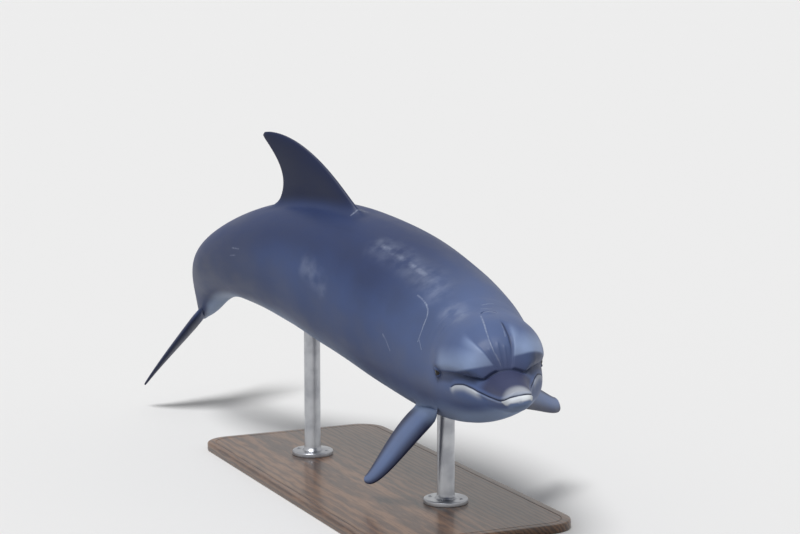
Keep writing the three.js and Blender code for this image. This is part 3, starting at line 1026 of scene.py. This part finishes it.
def relief(vert):
    """How far the skin moves out here, and how deep in a groove it is, from 0 to 1."""
    lines = [line.at(vert.co)[0] for line in FOLDS.values()]
    height, slit_distance = blowhole_relief(vert.co)
    height += sum(lines) + brow(vert.co)[0]
    # How deep in a groove, the lid opening or the eye socket a corner lies, which sets the painted
    # shade there.
    groove = min([0.0, *lines]) / -DEEPEST + hump(slit_distance, 2.2)
    if -vert.co.x < HEAD_END:
        lips, mouth_away = mouth_relief(vert.co, vert.normal)
        lids, rim_away = eye_relief(vert.co)
        crease = beak_crease(vert.co)
        height += lips + lids + crease
        groove += hump(mouth_away, 1.9) - 0.35 * crease
        groove += fade(rim_away, 2, -0.5) if rim_away < 50 else 0.0
        groove += 0.3 * max(-lids - 0.4, 0) if 3 < rim_away < 40 else 0.0
    return height, min(groove, 1.0)


# Layers for the paint: pale lips with a painted highlight on the beak's tip, the eye patch with
# painted shadows, the brows' blaze with a painted highlight, and the dusky beak.
marking_layers = [skin.verts.layers.float.new(name) for name in ("pale", "shade", "brow", "beak")]


def markings(vert):
    """The pale lips with a painted highlight on the beak's tip, the eye patch with the painted
    shadows of the face, the brows' blaze and painted highlight, and the dusky beak, from 0 to 1.
    """
    station = -vert.co.x
    if station > HEAD_END:
        return 0.0, 0.0, 0.0, 0.0
    across, past = mouth_distance(vert.co, vert.normal)
    below = hump(max(-across - 5, 0), 10) * fade(across, 0, -3)
    lip = below * fade(station, 132, 162) * fade(station, 266, 240)
    lip *= 0.85 if vert.co.y < 0 else 0.45
    rim = 0.15 * hump(across + 4, 4) * fade(station, 250, 220)
    drop = mouth_level(station) - vert.co.z
    wide = 4 + 17 * fade(station, 44, -2)
    tip = fade(station, 64, 34) * fade(drop, wide, wide - 7) * fade(drop, -2, 2)
    # A painted highlight on top of the beak's tip.
    upper = 0.45 * fade(station, 40, 2) * fade(across, -1, 2)
    # A painted shadow under the chin.
    chin_shadow = 0.55 * fade(station, 90, 30) * fade(drop, 22, 32)
    _, brow_blaze_and_highlight, under = brow(vert.co)
    eye_away = (Vector((vert.co.x, abs(vert.co.y), vert.co.z)) - eye_middle).length
    patch = 0.75 * hump(eye_away, 26)
    dusk = fade(across, 2, 18) * fade(station, CREASE + 26, CREASE - 14)
    return max(lip, rim, tip, upper), min(patch + 0.9 * under + chin_shadow, 1.0), brow_blaze_and_highlight, dusk


for vert in skin.verts:
    if vert[span_of] == 0:
        for layer, value in zip(marking_layers, markings(vert)):
            vert[layer] = value
moves = [relief(vert) if vert[span_of] == 0 else (0.0, 0.0) for vert in skin.verts]
for vert, (height, groove) in zip(skin.verts, moves):
    vert.co += vert.normal * height
    vert[crevice_of] = groove
print("carved", sum(abs(height) > 0.05 for height, _ in moves), "corners")

# %% [markdown]
# ## Bending the skin
# Last, every corner is carried to its place on the bent spine. The flippers are stiff, so they are
# carried whole by the station they grow from, and the skin round their roots shares the two.

# %% Bend the skin and keep the straight places
TIP_END, TIP_DEPTH = 40, 120  # before this station the angle means little, so the level counts

straight_of = skin.verts.layers.float_vector.new("straight")
unrolled_of = skin.verts.layers.float_vector.new("unrolled")
for vert in skin.verts:
    straight = vert.co.copy()
    station = -straight.x
    vert[straight_of] = straight * MM
    angle = angle_round(straight)
    around = abs(angle) / math.pi
    by_level = 0.5 + (mouth_level(station) - straight.z) / TIP_DEPTH
    around += (by_level - around) * fade(station, TIP_END, 0)
    vert[unrolled_of] = station * MM, angle, around
    stiff = ease(vert[stiff_of])
    vert.co = bend(straight).lerp(bend(straight, PECTORAL_ROOT), stiff)
bmesh.ops.recalc_face_normals(skin, faces=skin.faces)
bmesh.ops.triangulate(skin, faces=[face for face in skin.faces if len(face.verts) > 4])
dolphin = piece_of("dolphin_skin", skin, "skin", *FLESH)
print("skin:", len(dolphin.data.vertices), "corners,", len(dolphin.data.polygons), "faces")

# %% [markdown]
# ## Shader maths in plain Python
# A node tree built call by call hides its formula. Here a socket is wrapped in a small class whose
# operators each add one Math node, so `0.4 + 0.1 * cloud` is written just so. Any other node comes
# from one method, which sets the node's settings first, because some of them change its sockets.

# %% Wrap sockets and materials
class Value:
    """An output socket that Python's operators work on."""

    def __init__(self, finish, socket):
        self.finish, self.socket = finish, socket

    def __add__(self, other):
        return self.finish.maths("ADD", self, other)

    def __sub__(self, other):
        return self.finish.maths("SUBTRACT", self, other)

    def __rsub__(self, other):
        return self.finish.maths("SUBTRACT", other, self)

    def __mul__(self, other):
        return self.finish.maths("MULTIPLY", self, other)

    def __abs__(self):
        return self.finish.maths("ABSOLUTE", self)

    __radd__ = __add__
    __rmul__ = __mul__

    def between(self, low, high, start=0.0, end=1.0):
        """Eases from start to end while this value goes from low to high."""
        sockets = {"Value": self, 1: low, 2: high, 3: start, 4: end}
        return self.finish.node("MapRange", sockets, interpolation_type="SMOOTHSTEP")


class Finish:
    """A material in the making."""

    def __init__(self, name, **constants):
        self.material = bpy.data.materials.new(name)
        self.material.use_nodes = True
        self.tree = self.material.node_tree
        self.surface = self.tree.nodes["Principled BSDF"]
        self.paint(**constants)

    def feed(self, socket, value):
        if isinstance(value, Value):
            self.tree.links.new(socket, value.socket)
        else:
            socket.default_value = value

    def paint(self, **sockets):
        named = {socket.name.lower().replace(" ", "_"): socket for socket in self.surface.inputs}
        for name, value in sockets.items():
            self.feed(named[name], value)

    def node(self, kind, inputs=None, output=0, **settings):
        made = self.tree.nodes.new("ShaderNode" + kind)
        for name, value in settings.items():
            setattr(made, name, value)
        for name, value in (inputs or {}).items():
            self.feed(made.inputs[name], value)
        return Value(self, made.outputs[output])

    def maths(self, operation, *values):
        return self.node("Math", dict(enumerate(values)), operation=operation)

    def attribute(self, name, output="Fac"):
        return self.node("Attribute", output=output, attribute_name=name)

    def layers(self, paint, *coats):
        """Lays coats over a paint, each given as how much of it shows and its colour."""
        for share, coat in coats:
            sockets = {0: share, 6: paint, 7: coat}
            paint = self.node("Mix", sockets, output=2, data_type="RGBA")
        return paint

    def cloud(self, where, scale, detail, stretch=None):
        """Noise from 0 to 1, stretched along an axis where its stretch is below 1."""
        if stretch:
            where = self.node("Mapping", {"Vector": where, "Scale": stretch})
        return self.node("TexNoise", {"Vector": where, "Scale": scale, "Detail": detail})

    def bump(self, height, depth):
        return self.node("Bump", {"Height": height, "Distance": depth})

    def put_on(self, piece):
        piece.data.materials.clear()
        piece.data.materials.append(self.material)


def colour(red, green, blue):
    """A colour given as a paint chart gives it, 0 to 255, in the linear light that shaders use."""

    def linear(part):
        part /= 255
        return part / 12.92 if part <= 0.04045 else ((part + 0.055) / 1.055) ** 2.4

    return (linear(red), linear(green), linear(blue), 1)


print("a mid grey of 128 is", round(colour(128, 128, 128)[0], 3), "in linear light")

# %% [markdown]
# ## The skin's paint
# A bottlenose dolphin is counter-shaded: a dark cape over the back, slate-blue flanks and a pale
# belly, with soft borders between. Over that come cloudy mottling, a fine grain, pale lips and jaw
# tip, a painted highlight on the beak's tip, pale brows lightened further as a painted highlight, a
# dark eye patch, painted shadows under the brows from eye to beak and under the chin, and the scars
# that every adult carries. All of it is worked out from the places on the straight animal, so that it
# follows the body round its bends.

# %% Countershading and mottling
CAPE = colour(40, 54, 92)
FLANK = colour(60, 78, 122)
SHOULDER = colour(94, 114, 158)
BELLY_PAINT = colour(132, 152, 186)
FIN_PAINT = colour(28, 38, 70)
FLIPPER_FACE = colour(100, 120, 162)
# The brows' pale blaze, lightened further as a painted highlight.
BROW_BLAZE_AND_HIGHLIGHT = colour(158, 178, 216)
BEAK = colour(50, 52, 80)
# Pale lips and jaw tip, and a painted highlight on the beak's tip.
LIP_AND_HIGHLIGHT = colour(222, 227, 232)
# The dark eye patch, and the painted shadows under the brows and chin and in the grooves.
SHADOW_AND_EYE_PATCH = colour(30, 40, 70)
SCAR = colour(168, 178, 200)

hide = Finish("dolphin_skin", specular_ior_level=0.3, coat_weight=0.06, coat_roughness=0.3)
place = hide.attribute("straight", "Vector")
unrolled = hide.attribute("unrolled", "Vector")
station_at, angle_at, around_at = (
    hide.node("SeparateXYZ", {0: unrolled}, output=axis) for axis in range(3)
)

billows = hide.cloud(place, 3.2, 3)
mottle = hide.cloud(place, 14, 4, stretch=(0.55, 1, 1))
grain = hide.cloud(place, 240, 3)
tone = around_at + 0.16 * (billows - 0.5) + 0.05 * (mottle - 0.5)
fore = station_at.between(0.30, 0.95, 0.75, 0)
aft = station_at.between(1.20, 1.80, 0, 0.6)
body_paint = hide.layers(
    CAPE,
    (tone.between(0.20, 0.42) * (1 - aft), FLANK),
    (fore * tone.between(0.0, 0.6, 0.8, 0.5), SHOULDER),
    (tone.between(0.62, 0.80), BELLY_PAINT),
)
mid_chord = abs(hide.attribute("chord") - 0.45)
flipper_face = mid_chord.between(0.10, 0.48, 0.9, 0) * hide.attribute("stiff")
fin_paint = hide.layers(FIN_PAINT, (flipper_face, FLIPPER_FACE))
on_fin = hide.attribute("span").between(0.0, 0.16)
print("paint: cape, flank, belly and fins")

# %% [markdown]
# ## Scars
# Dolphins rake each other with their teeth, and the scars heal pale. A scar is a run of short
# straight strokes laid on the unrolled skin, where across is an angle and along is a station. The
# distance from a stroke is found as on paper: drop a perpendicular, and stop at the stroke's ends.

# %% Strokes on the unrolled skin
UNROLL = 0.19  # metres of skin for one radian, about the body's radius
SWAY, FRAY = 0.006, 0.0024  # how far strokes wander and fray, in metres


def vector(operation, *values, output=0):
    return hide.node("VectorMath", dict(enumerate(values)), output, operation=operation)


def on_paper(station, degrees):
    return Vector((station * MM, math.radians(degrees) * UNROLL, 0))


def stroke(where, start, end):
    """Distance, in metres, from the stroke between two (station, degrees)."""
    a, b = on_paper(*start), on_paper(*end)
    along = b - a
    offset = vector("SUBTRACT", where, a)
    share = vector("DOT_PRODUCT", offset, along / along.length_squared, output=1)
    clamped = hide.node("Clamp", {0: share})
    foot = hide.node("VectorMath", {0: along, "Scale": clamped}, operation="SCALE")
    return vector("LENGTH", vector("SUBTRACT", offset, foot), output=1)


SCARS = [  # half width in millimetres, strength, and the stations and degrees it runs through
    (4.2, 0.35, [(622, -33.2), (590, -33.2), (562, -34)]),
    (4.6, 0.65, [(562, -34), (540, -35), (520, -36.8), (504, -39.5), (495, -43), (490, -47)]),
    (4.4, 0.70, [(490, -47), (488, -52), (488, -57), (491, -62), (493, -65)]),
    (4.0, 0.50, [(486, -63.5), (474, -66), (462, -70)]),
    (4.0, 0.55, [(282, -7), (215, -8), (169, -9.3), (148, -9), (141, -5)]),
    (4.0, 0.30, [(212, 8), (172, 9)]),
    (6.0, 0.35, [(724, -77), (700, -80.5), (676, -87)]),
    (4.6, 0.45, [(1217, 8), (1222, -6)]),
    (4.4, 0.40, [(1716, -56), (1680, -58)]),
    (4.4, 0.35, [(1700, -48), (1655, -52)]),
    (4.0, 0.45, [(371, 1), (384, 12)]),
    (3.6, 0.34, [(343, -2), (340, 7)]),
    (4.4, 0.50, [(310, -6), (305, 4), (300, 9)]),
    (7.0, 0.50, [(820, 62), (865, 58), (940, 54), (1010, 52)]),
    (5.0, 0.45, [(835, 67), (915, 60), (1000, 57)]),
    (5.2, 0.45, [(1340, 74), (1430, 88), (1470, 97)]),
    (4.6, 0.40, [(600, 44), (655, 41)]),
]
RUBS = [  # the same for pale streaks and cloudy patches
    (15, 0.62, [(965, -18), (850, -17.6), (690, -16.7)]),
    (60, 0.22, [(985, -17.5), (690, -17)]),
    (70, 0.26, [(690, -16), (545, -20)]),
    (60, 0.36, [(420, -25), (345, -22)]),
    (50, 0.26, [(1250, -62), (1120, -70)]),
    (46, 0.26, [(1180, 48), (1080, 60)]),
]
sway = hide.cloud(place, 28, 2)
frayed = FRAY * (hide.cloud(place, 210, 2) - 0.5)
drift = hide.node("CombineXYZ", {0: station_at + SWAY * (sway - 0.5), 1: angle_at * UNROLL})


def marks(rows):
    """The strongest of all the strokes of some scars, at each place."""
    strongest = 0.0
    for half_wide, strength, stops in rows:
        for start, end in zip(stops, stops[1:]):
            away = stroke(drift, start, end) + frayed
            line = away.between(0, half_wide * MM, strength, 0)
            strongest = hide.maths("MAXIMUM", strongest, line)
    return strongest


worn = hide.cloud(place, 90, 3).between(0.32, 0.66, 0.35, 1)
patchy = hide.cloud(place, 22, 4).between(0.28, 0.80)
scarred = hide.maths("MAXIMUM", marks(SCARS) * worn, marks(RUBS) * patchy)
print("scars:", len(SCARS), "in", sum(len(stops) - 1 for _, _, stops in SCARS), "strokes")

# %% [markdown]
# ## Lips, shadows and gloss
# Pale lips, a painted highlight on the beak's tip, pale brows partly painted as a highlight, and
# painted shade in the grooves and under the brows and chin come from the attributes kept while
# carving. Colours are multiplied a little by the mottling, and the gloss breaks up with the same
# noise, because on real skin what is scuffed is both paler and duller. Grain and fine wrinkles go
# into a bump of a few tenths of a millimetre.

# %% Finish the skin's material
SKIN_BUMP = 0.0003

blotchy = mottle.between(0.25, 0.75)
paint = hide.layers(
    body_paint,
    (on_fin, fin_paint),
    (scarred, SCAR),
    # pale brows: a pale blaze and a painted highlight
    (hide.attribute("brow") * billows.between(0.3, 0.7, 0.7, 1) * 0.85, BROW_BLAZE_AND_HIGHLIGHT),
    (hide.attribute("beak") * 0.85, BEAK),
    # the eye patch and the painted shadows under the brows and chin
    (hide.attribute("shade") * 0.75, SHADOW_AND_EYE_PATCH),
    # pale lips and jaw tip, with a painted highlight on the beak's tip
    (hide.attribute("pale") * blotchy.between(0, 1, 0.8, 1), LIP_AND_HIGHLIGHT),
)
lightness = 0.84 + 0.14 * blotchy + 0.16 * billows + 0.06 * (grain - 0.5)
brighter = hide.node("CombineXYZ", {0: lightness, 1: lightness, 2: lightness})
crevice = hide.attribute("crevice")
# Painted shade in the grooves, the lid openings and the eye socket.
groove_shade = crevice.between(0.1, 0.9, 0, 0.85)
paint = hide.layers(vector("MULTIPLY", paint, brighter), (groove_shade, SHADOW_AND_EYE_PATCH))
wrinkled = hide.cloud(place, 70, 2, stretch=(1.6, 0.5, 0.5))
height = 0.5 * grain + 0.45 * wrinkled - 0.6 * scarred
hide.paint(
    base_color=paint,
    roughness=0.46 + 0.12 * blotchy + 0.20 * scarred + 0.15 * crevice,
    normal=hide.bump(height, SKIN_BUMP),
)
hide.put_on(dolphin)
print("skin material:", len(hide.tree.nodes), "nodes")

# %% [markdown]
# ## Glass eyes
# A taxidermist sets a glass eye: a dark ball with the iris painted behind a clear front. A ball
# with its own glossy paint does the same. Its rings are told by how far a corner lies from the
# middle of the gaze, kept as an attribute, so that they stay in place whichever way the eye points.

# %% Set the eyes
IRIS = colour(34, 26, 22)
PUPIL = colour(5, 5, 7)
EYE_DARK = colour(14, 12, 14)
EYE_RIM = colour(24, 22, 26)
EYE_FIT = 0.995  # a hair inside the frame's own ball

eye_finish = Finish("dolphin_eye", roughness=0.06, specular_ior_level=0.25)
fibres = eye_finish.cloud(eye_finish.node("TexCoord", output="Object"), 900, 3)
ring = eye_finish.attribute("gaze") + 0.03 * (fibres - 0.5)
iris = eye_finish.layers(
    PUPIL,
    (ring.between(0.25, 0.29), IRIS),
    (ring.between(0.44, 0.54), EYE_DARK),
    (ring.between(0.62, 0.74), EYE_RIM),
)
eye_finish.paint(base_color=iris)


def set_eye(name, side):
    middle, radius = ball(name)
    shape = bmesh.new()
    bmesh.ops.create_uvsphere(shape, u_segments=48, v_segments=24, radius=radius * EYE_FIT)
    inner = on_body(EYE[0], side * eye_skin_angle)
    gaze = Vector((EYE_OUT.x, side * EYE_OUT.y, EYE_OUT.z))
    gaze = (bend(inner + gaze, EYE[0]) - bend(inner, EYE[0])).normalized()
    turn = gaze.to_track_quat("Z", "Y").to_matrix()
    bmesh.ops.rotate(shape, verts=shape.verts, cent=(0, 0, 0), matrix=turn)
    gaze_of = shape.verts.layers.float.new("gaze")
    for vert in shape.verts:
        vert[gaze_of] = vert.co.normalized().angle(gaze) / (math.pi / 2)
    bmesh.ops.translate(shape, verts=shape.verts, vec=middle)
    eye_finish.put_on(piece_of(name + "_glass", shape, "eye", name))
    return radius


for name, side in (("eye_left", 1), ("eye_right", -1)):
    print(name, "set,", round(set_eye(name, side) / MM, 1), "mm")

# %% [markdown]
# ## The board
# A display stand starts with a board heavy enough not to tip. This one is solid walnut with rounded
# corners, an eased edge and a fine groove routed round its top. A cube becomes the board by moving
# only its edges: the four upright ones are bevelled wide, and then the rims above and below a
# little. The groove is the top face inset three times, with the middle one pushed down.

# %% Shape the board
BOARD_CORNER, BOARD_EDGE = 0.090, 0.005
GROOVE_IN, GROOVE_HALF, GROOVE_DEEP = 0.020, 0.0022, 0.0020

board_low, board_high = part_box("stand_base")
board = bmesh.new()
bmesh.ops.create_cube(board, size=1)
bmesh.ops.scale(board, verts=board.verts, vec=board_high - board_low)
bmesh.ops.translate(board, verts=board.verts, vec=(board_low + board_high) / 2)
upright = [edge for edge in board.edges if edge.verts[0].co.xy == edge.verts[1].co.xy]
rounding = {"affect": "EDGES", "profile": 0.5, "material": -1}
bmesh.ops.bevel(board, geom=upright, offset=BOARD_CORNER, segments=16, **rounding)


def is_flat(face):
    return abs(face.normal.z) > 0.9


board.normal_update()
rims = [edge for edge in board.edges if sum(is_flat(face) for face in edge.link_faces) == 1]
bmesh.ops.bevel(board, geom=rims, offset=BOARD_EDGE, segments=4, **rounding)
board.normal_update()
top = max(board.faces, key=lambda face: face.calc_center_median().z)
for inwards, down in ((GROOVE_IN, 0), (GROOVE_HALF, -GROOVE_DEEP), (GROOVE_HALF, GROOVE_DEEP)):
    bmesh.ops.inset_region(board, faces=[top], thickness=inwards, depth=down)
print("board:", len(board.faces), "faces")

# %% [markdown]
# ## Walnut
# A plank is cut from a log, so its figure is a slice through nested rings. Wave texture in rings
# about an axis below the board gives that slice, and its own distortion bends the rings. Noise
# stretched along the plank adds streaks and pores. The rings also feed the bump, because late wood
# stands up when a board is sanded, and the varnish over it keeps the surface smooth to the eye.

# %% Finish the board
WALNUT_DARK = colour(58, 40, 30)
WALNUT = colour(96, 68, 48)
WALNUT_PALE = colour(124, 92, 66)
WOOD_BUMP = 0.0002

walnut = Finish("stand_walnut", coat_weight=0.35, coat_roughness=0.18)
plank = walnut.node("TexCoord", output="Object")
laid = {"Vector": plank, "Location": (0, 0.11, 0.30), "Scale": (0.16, 1, 1)}
log = walnut.node("Mapping", laid)
figure_of = {"Vector": log, "Scale": 26.0, "Distortion": 5.0, "Detail": 3.0, "Detail Scale": 2.2}
slices = {"wave_type": "RINGS", "rings_direction": "X", "wave_profile": "SIN"}
rings = walnut.node("TexWave", figure_of, output=1, **slices)
streaks = walnut.cloud(plank, 9, 4, stretch=(0.12, 1.6, 1.6))
pores = walnut.cloud(plank, 300, 2, stretch=(0.05, 1, 1))
figure = 0.62 * rings + 0.5 * streaks
wood = walnut.layers(
    WALNUT_DARK,
    (figure.between(0.15, 0.55), WALNUT),
    (figure.between(0.55, 1.0, 0, 0.8), WALNUT_PALE),
    (pores.between(0.58, 0.70, 0, 0.55), WALNUT_DARK),
)
raised = 0.4 * rings - 0.6 * pores.between(0.58, 0.70)
gloss = 0.34 + 0.14 * pores
walnut.paint(base_color=wood, roughness=gloss, normal=walnut.bump(raised, WOOD_BUMP))
walnut.put_on(piece_of("stand_board", board, "base", "stand_base", sharp=35))
print("walnut:", len(walnut.tree.nodes), "nodes")

# %% [markdown]
# ## Posts and flanges
# Each post is a steel tube that stands in a flange, and the flange is screwed to the board. They are
# lathe work, so they are made as on a lathe: half an outline, spun once round an upright axis. Where
# the post goes into the belly, a collar hides the joint. Its lip has to follow the skin, so rays are
# cast up from each of its corners to find out how high the belly is there.

# %% Turn them on a lathe
TURNS = 64
SCREWS, SCREW_CIRCLE = 4, 0.049
RAY_FROM = 0.06  # a height over the flanges and under the belly
HIDDEN_TOP = 6  # how far a post goes on inside the belly, past the frame's rod
COLLAR = [(25.5, 6), (31, 4), (33, 1), (33.5, -4), (32.5, -8), (29, -9.5), (25.5, -9.5)]
FLANGE_OUTLINE = [
    (0, 26), (65, 26), (66, 27), (66, 36), (65.2, 38.4), (63.2, 39.7), (61, 40), (0, 40),
]
WELD = [(0, 40.2), (33.5, 40.2), (32, 42.4), (29.5, 44.6), (27.4, 47.6), (26, 52)]
SCREW = [(0, 39.9), (2.2, 39.9), (2.6, 41.7), (4.6, 41.5), (6, 40.6), (6.2, 39), (0, 39)]


def lathe(outline, middle, turns=TURNS):
    """Spins an outline of (radius, height), in millimetres, round an upright axis."""
    shape = bmesh.new()
    verts = [shape.verts.new((radius * MM, 0, height * MM)) for radius, height in outline]
    edges = [shape.edges.new(pair) for pair in zip(verts, verts[1:])]
    around = {"cent": (0, 0, 0), "axis": (0, 0, 1), "angle": math.tau, "steps": turns}
    bmesh.ops.spin(shape, geom=verts + edges, use_merge=True, **around)
    bmesh.ops.remove_doubles(shape, verts=shape.verts, dist=1e-6)
    bmesh.ops.recalc_face_normals(shape, faces=shape.faces)
    bmesh.ops.translate(shape, verts=shape.verts, vec=(middle.x, middle.y, 0))
    return shape


def join(target, source):
    mesh = mesh_of(source)
    target.from_mesh(mesh)
    bpy.data.meshes.remove(mesh)


belly_tree = BVHTree.FromObject(dolphin, bpy.context.evaluated_depsgraph_get())


def belly_over(x, y):
    """The height of the belly over a point of the board."""
    return belly_tree.ray_cast(Vector((x, y, RAY_FROM)), Vector((0, 0, 1)))[0].z


posts = {}
for end in ("front", "rear"):
    low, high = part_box("stand_rod_" + end)
    middle = (low + high) / 2
    flange = lathe(FLANGE_OUTLINE, middle)
    for index in range(SCREWS):
        turn = math.tau * (index + 0.5) / SCREWS
        spot = middle + SCREW_CIRCLE * Vector((math.cos(turn), math.sin(turn), 0))
        join(flange, lathe(SCREW, spot, 24))
    top = high.z / MM + HIDDEN_TOP
    rod = lathe(WELD + [(26, top), (0, top)], middle)
    collar = lathe(COLLAR, middle)
    for vert in collar.verts:
        vert.co.z += belly_over(vert.co.x, vert.co.y)
    join(rod, collar)
    posts[end] = flange, rod
    print(end, "post:", round(high.z / MM), "mm tall")

# %% [markdown]
# ## Brushed steel
# Steel turned on a lathe keeps fine rings from the tool. Noise squeezed hard along the height makes
# them, and they go into the roughness and a faint bump, not into the colour. Fingerprints and dull
# patches come from a second, cloudy noise.

# %% Finish the posts
STEEL = colour(186, 188, 192)
STEEL_DULL = colour(160, 162, 168)
STEEL_BUMP = 0.00012

steel = Finish("stand_steel", metallic=1.0)
metal_place = steel.node("TexCoord", output="Object")
brushing = steel.cloud(metal_place, 60, 3, stretch=(0.4, 0.4, 22))
smudges = steel.cloud(metal_place, 16, 3)
steel.paint(
    base_color=steel.layers(STEEL, (smudges.between(0.35, 0.7), STEEL_DULL)),
    roughness=0.22 + 0.12 * brushing + 0.10 * smudges,
    normal=steel.bump(brushing, STEEL_BUMP),
)
for end, (flange, rod) in posts.items():
    steel.put_on(piece_of("stand_foot_" + end, flange, "rod", "stand_flange_" + end, sharp=40))
    steel.put_on(piece_of("stand_post_" + end, rod, "rod", "stand_rod_" + end, sharp=40))
print("steel on", 2 * len(posts), "pieces")

# %% [markdown]
# ## The studio
# A plain pale floor, one large soft lamp high in front, and an even glow all round. The floor looks
# pale to the camera and in the steel, but throws back less light than that, since a bright floor
# would light the belly as strongly as the lamp lights the back. Light Path tells the rays apart.

# %% Floor and light
FLOOR_SEEN, FLOOR_BOUNCE = 0.80, 0.42  # greys, in linear light
GLOW_SEEN, GLOW_CAST = 0.75, 0.36
FLOOR_WIDE = 200
KEY_FROM, KEY_TO = Vector((1.5, -1.6, 4.2)), Vector((0.5, -0.2, 0.6))
KEY_ENERGY, KEY_SOFTNESS = 2.4, 25  # watts a square metre, and degrees across


class Glow(Finish):
    """The light from all round, made of the same nodes as a finish."""

    def __init__(self, world, **constants):
        world.use_nodes = True
        self.tree = world.node_tree
        self.surface = self.tree.nodes["Background"]
        self.paint(**constants)


def two_greys(finish, seen, cast):
    """One grey for rays from the camera, a gloss or a clear body, another for scattered light."""
    kinds = ("Is Camera Ray", "Is Glossy Ray", "Is Transmission Ray")
    camera_ray, gloss_ray, clear_ray = (finish.node("LightPath", output=kind) for kind in kinds)
    straight = finish.maths("MINIMUM", camera_ray + gloss_ray + clear_ray, 1.0)
    return finish.layers((cast, cast, cast, 1), (straight, (seen, seen, seen, 1)))


floor_shape = bmesh.new()
bmesh.ops.create_grid(floor_shape, x_segments=1, y_segments=1, size=FLOOR_WIDE)
floor = placed("floor", mesh_of(floor_shape, "floor"))
floor_paint = Finish("floor", roughness=0.9)
floor_paint.paint(base_color=two_greys(floor_paint, FLOOR_SEEN, FLOOR_BOUNCE))
floor_paint.put_on(floor)

world = bpy.data.worlds.new("studio")
glow = Glow(world, strength=1.0)
glow.paint(color=two_greys(glow, GLOW_SEEN, GLOW_CAST))
bpy.context.scene.world = world

key = bpy.data.lights.new("key", "SUN")
key.energy = KEY_ENERGY
key.angle = math.radians(KEY_SOFTNESS)
lamp = placed("key", key)
lamp.location = KEY_FROM
lamp.rotation_euler = (KEY_TO - KEY_FROM).to_track_quat("-Z", "Y").to_euler()
print("key light:", KEY_ENERGY, "watts a square metre")

# %% [markdown]
# ## The camera
# A portrait of an animal is taken from near its own height and from well away, or its beak would
# swell. This camera stands over six metres from the middle of the animal, to the right of its head,
# and looks slightly down on it with a long lens.

# %% Set up the camera
CAMERA_AT = (5.6501, -2.4913, 1.5490)
LOOKS_DOWN, LOOKS_FROM = 8, 65.5  # degrees below the level, and turned from looking along y
LENS, SENSOR = 91.98, 36  # millimetres

camera = bpy.data.cameras.new("camera")
camera.lens = LENS
camera.sensor_width = SENSOR
camera.clip_end = 500
tripod = placed("camera", camera)
tripod.location = CAMERA_AT
tripod.rotation_euler = (math.radians(90 - LOOKS_DOWN), 0, math.radians(LOOKS_FROM))
bpy.context.scene.camera = tripod
bpy.context.scene.view_settings.view_transform = "Standard"
print("camera:", round((tripod.location - Vector(tip)).length, 2), "m from the beak")
